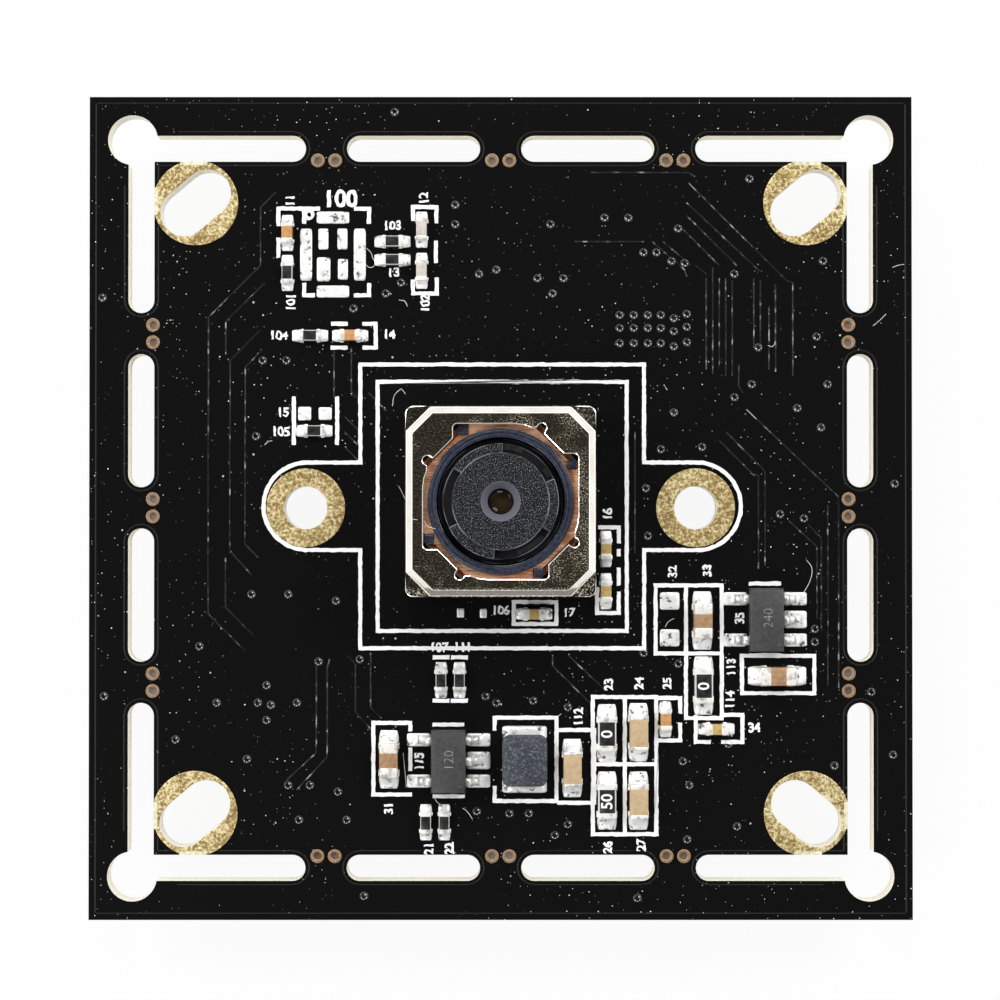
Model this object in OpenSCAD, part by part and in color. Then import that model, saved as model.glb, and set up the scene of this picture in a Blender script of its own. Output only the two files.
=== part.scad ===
// Autofocus camera module: a small lens and its voice-coil motor on a square circuit board
// that has a break-away frame. The origin is the middle of the board's back face,
// +Z looks out of the lens and +Y is the board's upper edge.

/* [Circuit board] */
// Side of the whole board, break-away frame included
board_side = 38; // [37.6:0.2:40]
// Thickness of the board
board_t = 1.2; // [0.8:0.1:2]
// Width of the break-away frame's rails
rail_w = 1.8; // [1.6:0.1:2.4]
// Width of the routed slots between the frame and the inner board
slot_w = 1.2; // [0.8:0.1:1.4]
// Width of the bridges that hold the frame
bridge_w = 1.9; // [1.6:0.1:2.4]
// Distance between neighbouring bridges of a side
bridge_pitch = 8.05; // [7.6:0.05:8.4]
// Distance of the corner screw holes from the board's outer edges
corner_hole_inset = 2; // [1.8:0.05:2.2]
// Diameter of the screw holes in the frame's corners
corner_hole_d = 2.3; // [2:0.1:2.6]
// Diameter of the perforation holes in the bridges
perforation_d = 0.38; // [0.3:0.02:0.5]
// Distance between the two perforation holes of a bridge
perforation_pitch = 0.8; // [0.75:0.05:1]

/* [Screw holes of the inner board] */
// Distance of the slotted screw holes from the inner board's edges
slotted_hole_inset = 1.9; // [1.8:0.05:2.2]
// Width of the slotted screw holes
slotted_hole_w = 2.2; // [1.8:0.1:2.4]
// Length of the slotted screw holes, end to end
slotted_hole_l = 3.6; // [3:0.1:3.8]
// Turn of the slotted screw holes from the board's edges
slotted_hole_turn = 40; // [35:1:45]
// Distance between the two screw holes for a lens holder
holder_hole_pitch = 18; // [17.6:0.1:18.4]
// Diameter of the two screw holes for a lens holder
holder_hole_d = 2; // [1.6:0.1:2.2]
// Width of the gold ring around each screw hole of a lens holder
holder_ring_w = 0.82; // [0.5:0.02:1]

/* [Metal and print on the board] */
// Thickness of the gold plating
gold_t = 0.04; // [0.03:0.01:0.08]
// Thickness of the tinned pads
pad_t = 0.05; // [0.03:0.01:0.08]
// Thickness of the white print
print_t = 0.03; // [0.02:0.01:0.05]
// Width of the white print's lines
print_w = 0.18; // [0.14:0.01:0.24]
// Side of the outer printed square around the camera
outer_print_side = 13.1; // [12.4:0.1:14]
// Side of the inner printed square around the camera
inner_print_side = 11.5; // [11:0.1:12]

/* [Small chip parts] */
// Length of a small chip part
small_chip_l = 1; // [0.9:0.05:1.1]
// Width of a small chip part
small_chip_w = 0.5; // [0.4:0.05:0.55]
// Height of a small chip capacitor
small_cap_h = 0.5; // [0.4:0.05:0.6]
// Height of a small chip resistor
small_res_h = 0.35; // [0.25:0.05:0.45]
// Length over both pads of a small chip part
small_pads_l = 1.64; // [1.5:0.02:1.7]

/* [Large chip parts] */
// Length of a large chip part
large_chip_l = 1.6; // [1.5:0.05:1.7]
// Width of a large chip part
large_chip_w = 0.85; // [0.7:0.05:0.9]
// Height of a large chip capacitor
large_cap_h = 0.8; // [0.6:0.05:1]
// Height of a large chip resistor
large_res_h = 0.45; // [0.35:0.05:0.6]
// Length over both pads of a large chip part
large_pads_l = 2.66; // [2.4:0.02:2.8]

/* [Regulators and coil] */
// Width of a regulator's body, without its leads
regulator_w = 1.6; // [1.5:0.05:1.7]
// Length of a regulator's body
regulator_l = 2.9; // [2.8:0.05:3]
// Height of a regulator over its pads
regulator_h = 1.1; // [0.9:0.05:1.3]
// Width over a regulator's leads
regulator_span = 2.8; // [2.7:0.05:3]
// Distance between a regulator's leads
regulator_pitch = 0.95; // [0.9:0.01:1]
// Width of the power inductor
inductor_w = 2.05; // [1.9:0.05:2.2]
// Length of the power inductor
inductor_l = 2.3; // [2.2:0.05:2.5]
// Height of the power inductor
inductor_h = 1.1; // [0.9:0.05:1.4]

/* [Sensor and filter] */
// Height of the lens axis above the board's middle, along its upper direction
lens_y = 0.25; // [0:0.05:0.4]
// Width of the image sensor
sensor_w = 6; // [5.4:0.1:6.2]
// Length of the image sensor
sensor_l = 5.4; // [5:0.1:6]
// Thickness of the image sensor
sensor_t = 0.4; // [0.3:0.05:0.45]
// Thickness of the sensor's cover glass
cover_glass_t = 0.4; // [0.3:0.05:0.45]
// Height of the filter holder
holder_h = 1.3; // [1.25:0.05:1.6]
// Wall of the filter holder
holder_wall = 0.9; // [0.6:0.05:1]
// Thickness of the filter holder's ceiling
holder_ceiling_t = 0.4; // [0.35:0.05:0.4]
// Side of the window in the filter holder
holder_window = 4.8; // [4.4:0.1:5]
// Side of the infrared filter
filter_side = 5.8; // [5.4:0.1:6]
// Thickness of the infrared filter
filter_t = 0.2; // [0.15:0.05:0.25]

/* [Focus motor] */
// Side of the motor and its can
can_side = 8.5; // [8.4:0.05:9]
// Height of the can
can_h = 3; // [2.9:0.05:3.4]
// Thickness of the can's sheet
can_sheet = 0.15; // [0.1:0.01:0.2]
// Radius of the can's upright corners
can_corner_r = 0.35; // [0.25:0.05:0.5]
// Leg of the cut that the raised top has at each corner
can_cut = 1.1; // [0.9:0.05:1.2]
// Drop of the can's edges below its flat top
can_bevel_h = 0.3; // [0.2:0.05:0.4]
// Width of the can's sloped edge seen from the front
can_bevel_w = 0.32; // [0.2:0.02:0.4]
// Half of the width of the can's opening
opening_half = 3.45; // [3.4:0.01:3.5]
// Thickness of the motor base's outer flange
base_flange_t = 0.3; // [0.2:0.05:0.4]
// Height of the motor base's raised middle
base_plug_h = 0.3; // [0.2:0.05:0.4]
// Half of the width of the lens carrier between its flanges
carrier_half = 3.35; // [3.3:0.01:3.4]
// Radius of the round rim on top of the lens carrier
carrier_rim_r = 3.25; // [3.2:0.01:3.27]
// Radius of the lens carrier's bore
carrier_bore_r = 2.86; // [2.8:0.01:2.9]
// Thickness of the coil's winding
coil_t = 0.35; // [0.25:0.01:0.4]
// Running gap between the coil and the magnets
magnet_gap = 0.15; // [0.1:0.01:0.2]
// Thickness of the leaf springs
spring_t = 0.05; // [0.03:0.01:0.08]
// Travel of the lens carrier from its lower stop
focus_travel = 0.3; // [0.2:0.05:0.3]

/* [Lens] */
// Radius of the lens barrel where the carrier holds it
barrel_r = 2.8; // [2.75:0.01:2.8]
// Radius of the barrel's head over its three lobes
barrel_head_r = 2.58; // [2.5:0.01:2.6]
// Radius of the barrel's front disc
barrel_face_r = 2.16; // [2.1:0.01:2.2]
// Height of the barrel's front over the can's top
barrel_proud = 0.25; // [0.15:0.05:0.4]
// Radius of the cone's mouth in the barrel's front
cone_mouth_r = 0.88; // [0.8:0.01:1]
// Radius of the hole at the bottom of the cone
cone_throat_r = 0.58; // [0.5:0.01:0.62]
// Depth of the cone
cone_depth = 0.35; // [0.25:0.05:0.4]

/* [Parts on the back] */
// Side of the image processor
processor_side = 7; // [6.6:0.1:7.4]
// Height of the image processor
processor_h = 0.85; // [0.7:0.05:1]
// Width of the flash memory's body
flash_w = 3.9; // [3.7:0.1:4.1]
// Length of the flash memory's body
flash_l = 4.9; // [4.8:0.1:5.1]
// Height of the flash memory
flash_h = 1.5; // [1.3:0.05:1.7]
// Width of the cable socket
socket_w = 8; // [7.6:0.1:8.6]
// Depth of the cable socket, along its pins
socket_d = 4.2; // [4:0.1:4.6]
// Height of the cable socket
socket_h = 3.4; // [3.2:0.1:3.6]
// Distance between the cable socket's pins
socket_pitch = 1.25; // [1.2:0.01:1.3]

/* [Hidden] */
$fn = 64;
eps = 0.01;

// Derived sizes of the board
inner_half = board_side / 2 - rail_w - slot_w;
board_top = board_t;
bridge_half = bridge_w / 2;
corner_hole_at = board_side / 2 - corner_hole_inset;
corner_arm_end = bridge_pitch + bridge_half;
print_shift = 0.07;
perforation_line = inner_half + 0.06;
plating_w = 0.13;
slotted_pad_r = slotted_hole_l / 2 + 0.17;

// Places of the chip parts: middle along X, middle along Y, turn.
// The groups at the top and at the bottom keep their distance from the inner board's edges.
upper_edge = inner_half;
lower_edge = -inner_half;
beside_can = can_side / 2 + 0.6;
small_cap_at = [
    [-9.85, upper_edge - 3.3, 90], [-3.65, upper_edge - 3.15, 90], [-3.65, upper_edge - 5.05, 90],
    [-6.95, upper_edge - 8.05, 0], [beside_can, lens_y - 2.15, 90], [beside_can, lens_y - 4.1, 90],
    [1.55, lens_y - can_side / 2 - 0.9, 0], [7.6, lower_edge + 6.25, 90], [9.95, lower_edge + 5.8, 0]
];
large_cap_at = [
    [-5.15, lower_edge + 4.4, 90], [3.3, lower_edge + 4, 90], [6.35, lower_edge + 5.65, 90],
    [6.35, lower_edge + 2.5, 90], [9.3, lower_edge + 10.8, 90], [12.75, lower_edge + 8.25, 0]
];
small_res_at = [
    [-9.85, upper_edge - 5.15, 90], [-5, upper_edge - 3.7, 0], [-5, upper_edge - 4.55, 0],
    [-8.8, upper_edge - 8.05, 0], [-8.6, upper_edge - 12.45, 0], [-2.75, lower_edge + 8.05, 90],
    [-1.9, lower_edge + 8.05, 90], [-3.45, lower_edge + 1.5, 90], [-2.6, lower_edge + 1.5, 90]
];
large_res_at = [
    [4.9, lower_edge + 5.6, 90], [4.9, lower_edge + 2.5, 90], [9.35, lower_edge + 7.8, 90]
];

// Places of the other parts on the front
regulator_at = [[-2.4, lower_edge + 4.35], [12.2, lower_edge + 10.85]];
inductor_at = [1.1, lower_edge + 4.4];
microphone_at = [-7.75, upper_edge - 4.3];
// Pads with no part: middle, then width and length
spare_pads = [
    [-9.05, upper_edge - 11.65, 0.6, 0.62], [-8.1, upper_edge - 11.65, 0.6, 0.58],
    [7.8, lower_edge + 11.7, 0.9, 0.8], [7.8, lower_edge + 10, 0.9, 0.78],
    [-1.85, lens_y - can_side / 2 - 0.85, 0.32, 0.42], [-0.8, lens_y - can_side / 2 - 0.87, 0.32, 0.42]
];

// Sizes of the solder pads
small_pad_w = 0.62;
small_pad_gap = 0.56;
large_pad_w = 0.96;
large_pad_gap = 0.9;
fillet_share = 0.7;
cap_end = 0.26;
cap_shell = 0.02;

// Levels of the camera over the board's front
lens_axis = [0, lens_y];
filter_floor = holder_h - filter_t;
can_floor = holder_h + base_flange_t;
can_top = can_floor + can_h;
carriage_floor = can_floor + base_plug_h + spring_t;
can_inner_half = can_side / 2 - can_sheet;
plug_clearance = 0.02;
spring_headroom = 0.1;
spring_drop = can_sheet + focus_travel + spring_headroom;
rim_top = can_top - 0.25;
spring_level = can_top - spring_drop;
carrier_flange_t = 0.35;
carrier_shoulder_t = 0.2;
coil_floor = carriage_floor + carrier_flange_t;
coil_top = spring_level - carrier_shoulder_t;
coil_half = carrier_half + coil_t;
upper_spring_rim = 0.3;
lower_spring_rim = 0.1;
magnet_reach = coil_half + magnet_gap;
magnet_flat = 0.6;
barrel_top = can_top + barrel_proud;
barrel_floor = holder_h + 0.2;
base_hole_r = barrel_r - 0.05;
barrel_waist_r = base_hole_r - 0.15;
head_floor = can_top - 0.7;
recess_floor = can_top - 0.4;
face_step = 0.1;

// Lens elements, from the front: radius and thickness
element_r = [1.25, 1.5, 1.8, 2.12];
element_t = [0.5, 0.65, 0.65, 0.5];
element_bulge = 0.12;
element_clearance = 0.02;
element_top = barrel_top - cone_depth - 0.15;

// Places of the parts on the back
processor_at = [1.5, 5];
flash_at = [-9.5, 6];
crystal_at = [9.2, 5.5];
socket_at_x = -3.05;
socket_wall = 0.7;
socket_pins = 4;

function element_floor(i) = element_top - (i < 0 ? 0 : element_t[i] + element_top - element_floor(i - 1));
function numbered(name, count) = [for (i = [1 : count]) str(name, "_", i)];

// ---------- shared shapes ----------

// A box centred in X and Y that stands on a level
module block(w, l, h, z = 0) {
    translate([-w / 2, -l / 2, z]) cube([w, l, h]);
}

// A straight slot with round ends, cut through the board
module board_slot(from, to, w) {
    turn = atan2(to[1] - from[1], to[0] - from[0]);
    reach = norm(to - from);
    translate([from[0], from[1], -1]) rotate([0, 0, turn]) {
        translate([0, -w / 2, 0]) cube([reach, w, board_t + 2]);
        cylinder(d = w, h = board_t + 2);
        translate([reach, 0, 0]) cylinder(d = w, h = board_t + 2);
    }
}

// One flat shape on the board's front and the same on its back
module both_faces(t) {
    translate([0, 0, board_top]) linear_extrude(t) children();
    translate([0, 0, -t]) linear_extrude(t) children();
}

// Children at the camera's axis, with Z counted from the board's front
module on_lens_axis() {
    translate([lens_axis[0], lens_axis[1], board_top]) children();
}

module quarter_turns() {
    for (quarter = [0 : 3]) rotate([0, 0, 90 * quarter]) children();
}

// An octagon given by half its width across the sides and across the corners
module octagon(side_half, corner_half) {
    intersection() {
        square(2 * side_half, center = true);
        rotate(45) square(2 * corner_half, center = true);
    }
}

// ---------- circuit board ----------

slotted_half = inner_half - slotted_hole_inset;
slotted_hole_reach = (slotted_hole_l - slotted_hole_w) / 2;
// Corner signs and the direction in which each slotted hole runs
slotted_holes = [[-1, 1, 1], [1, 1, 1], [-1, -1, 1], [1, -1, -1]];

function slot_end(corner, way) = [
    corner[0] * slotted_half + way * slotted_hole_reach * cos(slotted_hole_turn),
    corner[1] * slotted_half + way * slotted_hole_reach * sin(slotted_hole_turn) * corner[2]
];

module slotted_hole_cutters() {
    for (corner = slotted_holes)
        board_slot(slot_end(corner, -1), slot_end(corner, 1), slotted_hole_w);
}

module holder_hole_places() {
    for (side = [-1, 1]) translate([side * holder_hole_pitch / 2, 0]) children();
}

module perforation_places() {
    quarter_turns()
        for (bridge = [-1, 0, 1], side = [-1, 1])
            translate([bridge * bridge_pitch + side * perforation_pitch / 2, perforation_line]) children();
}

module frame_slots() {
    slot_line = inner_half + slot_w / 2;
    quarter_turns() {
        for (side = [-1, 1])
            board_slot(
                [side * (bridge_half + slot_w / 2), slot_line],
                [side * (bridge_pitch - bridge_half - slot_w / 2), slot_line], slot_w);
        board_slot([corner_arm_end + slot_w / 2, slot_line], [slot_line, slot_line], slot_w);
        board_slot([slot_line, corner_arm_end + slot_w / 2], [slot_line, slot_line], slot_w);
    }
}

module circuit_board() {
    color([0.06, 0.06, 0.06]) difference() {
        block(board_side, board_side, board_t);
        frame_slots();
        slotted_hole_cutters();
        quarter_turns()
            translate([corner_hole_at, corner_hole_at, -1]) cylinder(d = corner_hole_d, h = board_t + 2);
        holder_hole_places() translate([0, 0, -1]) cylinder(d = holder_hole_d, h = board_t + 2);
        perforation_places() translate([0, 0, -1]) cylinder(d = perforation_d, h = board_t + 2, $fn = 24);
    }
}

module gold_plating() {
    color([0.78, 0.69, 0.44]) difference() {
        both_faces(gold_t) {
            intersection() {
                square(2 * inner_half, center = true);
                for (corner = slotted_holes)
                    translate([corner[0] * slotted_half, corner[1] * slotted_half]) circle(slotted_pad_r);
            }
            holder_hole_places() circle(holder_hole_d / 2 + holder_ring_w);
            perforation_places() circle(perforation_d / 2 + plating_w, $fn = 24);
        }
        slotted_hole_cutters();
        holder_hole_places() translate([0, 0, -1]) cylinder(d = holder_hole_d, h = board_t + 2);
        perforation_places() translate([0, 0, -1]) cylinder(d = perforation_d, h = board_t + 2, $fn = 24);
    }
}

// ---------- white print ----------

// A printed line along X or Y, its ends squared
module print_line(from, to) {
    low = [min(from[0], to[0]), min(from[1], to[1])];
    high = [max(from[0], to[0]), max(from[1], to[1])];
    translate([low[0] - print_w / 2, low[1] - print_w / 2, board_top])
        cube([high[0] - low[0] + print_w, high[1] - low[1] + print_w, print_t]);
}

module print_path(points) {
    for (i = [1 : len(points) - 1]) print_line(points[i - 1], points[i]);
}

// A printed box round a middle: reach to the left, right, lower and upper side
module print_box(at, left, right, low, high) {
    print_path([
        at + [-left, -low], at + [right, -low], at + [right, high], at + [-left, high], at + [-left, -low]
    ]);
}

// The two squares round the camera, and the ears round the lens holder's screw holes
module holder_print() {
    ear_half = holder_hole_d / 2 + holder_ring_w + 0.2;
    half = outer_print_side / 2;
    translate([print_shift, print_shift, 0]) {
        for (way = [-1, 1]) {
            print_path([
                [-half, way * ear_half], [-half, way * half], [half, way * half], [half, way * ear_half]
            ]);
            for (side = [-1, 1])
                print_line([side * half, way * ear_half], [side * holder_hole_pitch / 2, way * ear_half]);
        }
        print_box([0, 0], inner_print_side / 2, inner_print_side / 2, inner_print_side / 2, inner_print_side / 2);
        for (side = [-1, 1]) translate([side * holder_hole_pitch / 2, 0, board_top]) difference() {
            cylinder(r = ear_half + print_w / 2, h = print_t);
            translate([0, 0, -eps]) cylinder(r = ear_half - print_w / 2, h = print_t + 2 * eps);
            translate([side > 0 ? -2 * ear_half : 0, -2 * ear_half, -eps])
                cube([2 * ear_half, 4 * ear_half, print_t + 2 * eps]);
        }
    }
}

module microphone_print() {
    left = microphone_at[0] - 1.33;
    right = microphone_at[0] + 1.67;
    high = microphone_at[1] + 2.12;
    low = microphone_at[1] - 1.88;
    drop = 0.6;
    rise = 0.48;
    print_path([[left, high - drop], [left, high], [left + drop, high]]);
    print_path([[right, high - drop], [right, high], [right - drop, high]]);
    print_path([[left, low + rise], [left, low], [left + 0.4, low]]);
    print_path([[right, low + rise], [right, low], [right - drop, low]]);
    translate([microphone_at[0] - 1.1, microphone_at[1] + 1.85, board_top]) difference() {
        cylinder(r = 0.24, h = print_t, $fn = 24);
        translate([0, 0, -eps]) cylinder(r = 0.1, h = print_t + 2 * eps, $fn = 24);
    }
}

// A bracket open at one side, with a short bar across the open side
module pair_bracket(at, left, right, low, high, bar) {
    print_path([
        at + [right, high - 0.3], at + [right, high], at + [-left, high], at + [-left, -low], at + [right, -low]
    ]);
    print_line(at + [right, -bar], at + [right, bar]);
}

function place(list, i) = [list[i][0], list[i][1]];

module chip_print() {
    beside_mic = place(small_cap_at, 0);
    print_path([beside_mic + [-0.42, 0.4], beside_mic + [-0.42, 1.13], beside_mic + [1.4, 1.13]]);
    print_line(beside_mic + [-0.42, -0.3], beside_mic + [-0.42, -1.05]);

    top_cap = place(small_cap_at, 1);
    print_path([top_cap + [-0.4, 0.5], top_cap + [-0.4, 1.05], top_cap + [0.68, 1.05], top_cap + [0.68, 0.4]]);
    next_cap = place(small_cap_at, 2);
    print_path([next_cap + [-0.4, -0.5], next_cap + [-0.4, -1.05], next_cap + [0.7, -1.05], next_cap + [0.7, -0.4]]);
    print_line(next_cap + [0.66, 0.45], next_cap + [0.66, 1.3]);

    flat_cap = place(small_cap_at, 3);
    for (way = [-1, 1]) {
        print_line(flat_cap + [-0.8, way * 0.55], flat_cap + [-0.2, way * 0.55]);
        print_path([flat_cap + [0.65, way * 0.55], flat_cap + [1.18, way * 0.55], flat_cap + [1.18, 0]]);
    }

    for (i = [4, 5]) {
        can_cap = place(small_cap_at, i);
        low = i == 4 ? 0.25 : 1;
        print_line(can_cap + [0.6, -low], can_cap + [0.6, -0.1]);
        print_line(can_cap + [0.6, 0.35], can_cap + [0.6, 1]);
    }
    print_line(place(small_cap_at, 4) + [-0.25, 1], place(small_cap_at, 4) + [0.6, 1]);
    print_line(place(small_cap_at, 5) + [-0.4, -1], place(small_cap_at, 5) + [0.6, -1]);
    print_line(place(small_cap_at, 5) + [-0.4, -1], place(small_cap_at, 5) + [-0.4, 0.1]);
    print_box(place(small_cap_at, 6), 0.95, 1.02, 0.46, 0.55);

    tall_row = place(small_res_at, 4);
    for (x = [-0.95, 1.05]) print_line(tall_row + [x, -0.55], tall_row + [x, 1.5]);

    for (i = [5, 6]) {
        pair = place(small_res_at, i);
        for (y = [-0.95, 1.05]) print_line(pair + [-0.3, y], pair + [0.3, y]);
    }

    pair_bracket(place(large_cap_at, 0), 0.72, 0.98, 1.62, 1.68, 0.45);
    by_coil = place(large_cap_at, 1);
    print_path([
        by_coil + [-0.6, 1.75], by_coil + [1.02, 1.75], by_coil + [1.02, -1.6], by_coil + [-0.6, -1.6]
    ]);

    // The block of two resistors and two capacitors, and the small capacitor beside it
    block_low = place(large_res_at, 1) + [-0.65, -1.55];
    block_high = place(large_cap_at, 2) + [0.83, 1.62];
    print_path([
        block_low, [block_high[0], block_low[1]], block_high, [block_low[0], block_high[1]], block_low
    ]);
    divider_x = (place(large_res_at, 0)[0] + place(large_cap_at, 2)[0]) / 2 + 0.1;
    divider_y = (place(large_cap_at, 2)[1] + place(large_cap_at, 3)[1]) / 2 + 0.1;
    print_line([divider_x, block_low[1]], [divider_x, block_high[1]]);
    print_line([block_low[0], divider_y], [block_high[0], divider_y]);
    side_cap = place(small_cap_at, 7);
    print_path([[block_high[0], side_cap[1] + 0.98], side_cap + [0.68, 0.98], side_cap + [0.68, 0.35]]);
    print_path([[block_high[0], side_cap[1] - 0.98], side_cap + [0.68, -0.98], side_cap + [0.68, -0.25]]);

    // The block beside the right regulator
    right_cap = place(large_cap_at, 4);
    spare = spare_pads[2];
    print_path([
        [spare[0] - 0.65, right_cap[1] - 1.52], right_cap + [0.9, -1.52], right_cap + [0.9, 1.62],
        [spare[0] - 0.65, right_cap[1] + 1.62], [spare[0] - 0.65, right_cap[1] - 1.52]
    ]);
    print_line([right_cap[0] - 0.75, right_cap[1] - 1.52], [right_cap[0] - 0.75, right_cap[1] + 1.62]);
    lower_res = place(large_res_at, 2);
    print_path([
        [right_cap[0] - 0.75, right_cap[1] - 1.52], [right_cap[0] - 0.75, lower_res[1] - 1.5],
        [right_cap[0] + 0.9, lower_res[1] - 1.5], [right_cap[0] + 0.9, right_cap[1] - 1.52]
    ]);
    print_box(place(large_cap_at, 5), 1.62, 1.72, 0.8, 0.92);
    last_cap = place(small_cap_at, 8);
    print_path([last_cap + [-0.35, -0.6], last_cap + [-0.95, -0.6], last_cap + [-0.95, 0.55]]);
    print_path([last_cap + [0.3, 0.65], last_cap + [1.2, 0.65], last_cap + [1.2, -0.6], last_cap + [0.3, -0.6]]);
}

module inductor_print() {
    left = -inductor_w / 2 - 0.35;
    right = inductor_w / 2 + 0.45;
    high = inductor_l / 2 + 0.77;
    low = -inductor_l / 2 - 0.77;
    print_path([
        inductor_at + [left, high - 0.5], inductor_at + [left, high], inductor_at + [right, high],
        inductor_at + [right, low], inductor_at + [left, low], inductor_at + [left, low + 0.6]
    ]);
}

module regulator_print() {
    for (at = regulator_at, way = [-1, 1])
        print_line(at + [-0.65, way * (regulator_l / 2 + 0.2)], at + [0.65, way * (regulator_l / 2 + 0.2)]);
}

module printed_lines() {
    color([0.95, 0.95, 0.94]) {
        holder_print();
        microphone_print();
        chip_print();
        inductor_print();
        regulator_print();
    }
}

// ---------- solder ----------

// A tinned pad on the board's front
module pad(at, w, l) {
    translate([at[0], at[1], 0]) block(w, l, pad_t, board_top);
}

// The wedge of solder from a pad's top up a chip's end, its length along X
module fillet_wedge(reach, w, h) {
    translate([0, w / 2, board_top + pad_t]) rotate([90, 0, 0])
        linear_extrude(w) polygon([[0, 0], [reach, 0], [0.3 * reach, 0.35 * h], [0, h]]);
}

module chip_solder(at, chip_l, chip_w, chip_h, pads_l, pad_w, gap) {
    pad_l = (pads_l - gap) / 2;
    reach = (pads_l - chip_l) / 2;
    translate([at[0], at[1], 0]) rotate([0, 0, at[2]])
        for (side = [0, 180]) rotate([0, 0, side]) {
            pad([gap / 2 + pad_l / 2, 0], pad_l, pad_w);
            translate([chip_l / 2, 0, 0]) fillet_wedge(reach, chip_w, fillet_share * chip_h);
        }
}

// Lead middles of a regulator: side of the body and place along it
regulator_leads = [[-1, -1], [-1, 1], [1, -1], [1, 0], [1, 1]];

module regulator_solder(at) {
    pad_reach = regulator_span / 2 + 0.5;
    pad_start = regulator_w / 2 + 0.05;
    for (lead = regulator_leads)
        pad(at + [lead[0] * (pad_start + pad_reach) / 2, lead[1] * regulator_pitch],
            pad_reach - pad_start, lead[1] == 0 ? 0.78 : 0.62);
}

module microphone_solder() {
    bar_l = 1.5;
    bar_w = 0.55;
    side_bar_l = 2.4;
    for (way = [-1, 1]) {
        pad(microphone_at + [0, way * 1.71], bar_l, bar_w);
        pad(microphone_at + [way * 1.24, 0], bar_w, side_bar_l);
        pad(microphone_at + [way * 0.44, 0.72], 0.46, 0.96);
    }
    pad(microphone_at + [-0.43, -0.68], 0.62, 1.1);
    pad(microphone_at + [0.46, -0.68], 0.46, 0.95);
}

module inductor_solder() {
    for (way = [-1, 1])
        pad(inductor_at + [0, way * (inductor_l / 2 + 0.08)], inductor_w, 0.85);
}

module solder_joints() {
    color([0.86, 0.86, 0.84]) {
        for (at = small_cap_at)
            chip_solder(at, small_chip_l, small_chip_w, small_cap_h, small_pads_l, small_pad_w, small_pad_gap);
        for (at = small_res_at)
            chip_solder(at, small_chip_l, small_chip_w, small_res_h, small_pads_l, small_pad_w, small_pad_gap);
        for (at = large_cap_at)
            chip_solder(at, large_chip_l, large_chip_w, large_cap_h, large_pads_l, large_pad_w, large_pad_gap);
        for (at = large_res_at)
            chip_solder(at, large_chip_l, large_chip_w, large_res_h, large_pads_l, large_pad_w, large_pad_gap);
        for (at = regulator_at) regulator_solder(at);
        inductor_solder();
        microphone_solder();
        for (spare = spare_pads) pad(spare, spare[2], spare[3]);
    }
}

// ---------- chip parts ----------

// A chip part on its pads: a body between two metal ends, which wrap it and stand a little proud
module chip_part(at, l, w, h, end_l) {
    translate([at[0], at[1], board_top + pad_t]) rotate([0, 0, at[2]]) {
        block(l - 2 * eps, w - 2 * cap_shell, h - 2 * cap_shell, cap_shell);
        for (side = [-1, 1]) translate([side * (l - end_l) / 2, 0, 0]) block(end_l, w, h);
    }
}

module small_capacitor(i) {
    color([0.72, 0.55, 0.4]) chip_part(small_cap_at[i], small_chip_l, small_chip_w, small_cap_h, cap_end);
}

module large_capacitor(i) {
    color([0.66, 0.5, 0.36])
        chip_part(large_cap_at[i], large_chip_l, large_chip_w, large_cap_h, 1.3 * cap_end);
}

module small_resistor(i) {
    color([0.12, 0.12, 0.12]) chip_part(small_res_at[i], small_chip_l, small_chip_w, small_res_h, 0.9 * cap_end);
}

module large_resistor(i) {
    color([0.1, 0.1, 0.1]) chip_part(large_res_at[i], large_chip_l, large_chip_w, large_res_h, cap_end);
}

// ---------- regulators ----------

// A bent lead seen from its side: foot on the pad, rise, and shoulder into the body
module gull_wing_lead(reach, rise, w, t = 0.13) {
    foot = 0.35 * reach;
    translate([0, w / 2, 0]) rotate([90, 0, 0]) linear_extrude(w)
        polygon([
            [-eps, rise], [0.45 * reach, rise], [0.65 * reach + t, t], [reach, t],
            [reach, 0], [reach - foot, 0], [0.4 * reach, rise - t], [-eps, rise - t]
        ]);
}

module regulator(i) {
    stand_off = 0.08;
    middle = regulator_h * 0.55;
    draft = 0.06;
    reach = (regulator_span - regulator_w) / 2;
    lead_w = 0.4;
    color([0.2, 0.2, 0.2]) translate([regulator_at[i][0], regulator_at[i][1], board_top + pad_t]) {
        block(regulator_w, regulator_l, 0.16, middle - 0.08);
        block(regulator_w - 2 * draft, regulator_l - 2 * draft, regulator_h - stand_off, stand_off);
        for (lead = regulator_leads)
            translate([lead[0] * regulator_w / 2, lead[1] * regulator_pitch, 0])
                rotate([0, 0, lead[0] > 0 ? 0 : 180]) gull_wing_lead(reach, middle + 0.06, lead_w);
    }
}

// ---------- power inductor ----------

module power_inductor() {
    flange_t = 0.28;
    corner_cut = 0.32;
    waist = 0.12;
    module flange(grow) {
        offset_w = inductor_w / 2 - grow;
        offset_l = inductor_l / 2 - grow;
        polygon([
            [-offset_w + corner_cut, -offset_l], [offset_w - corner_cut, -offset_l],
            [offset_w, -offset_l + corner_cut], [offset_w, offset_l - corner_cut],
            [offset_w - corner_cut, offset_l], [-offset_w + corner_cut, offset_l],
            [-offset_w, offset_l - corner_cut], [-offset_w, -offset_l + corner_cut]
        ]);
    }
    color([0.27, 0.3, 0.34]) translate([inductor_at[0], inductor_at[1], board_top + pad_t]) {
        linear_extrude(flange_t) flange(0);
        translate([0, 0, flange_t]) linear_extrude(inductor_h - 2 * flange_t) flange(waist);
        translate([0, 0, inductor_h - flange_t]) linear_extrude(flange_t) flange(0.02);
    }
}

// ---------- sensor and filter ----------

module image_sensor() {
    color([0.25, 0.28, 0.3]) on_lens_axis() block(sensor_w, sensor_l, sensor_t);
}

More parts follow.
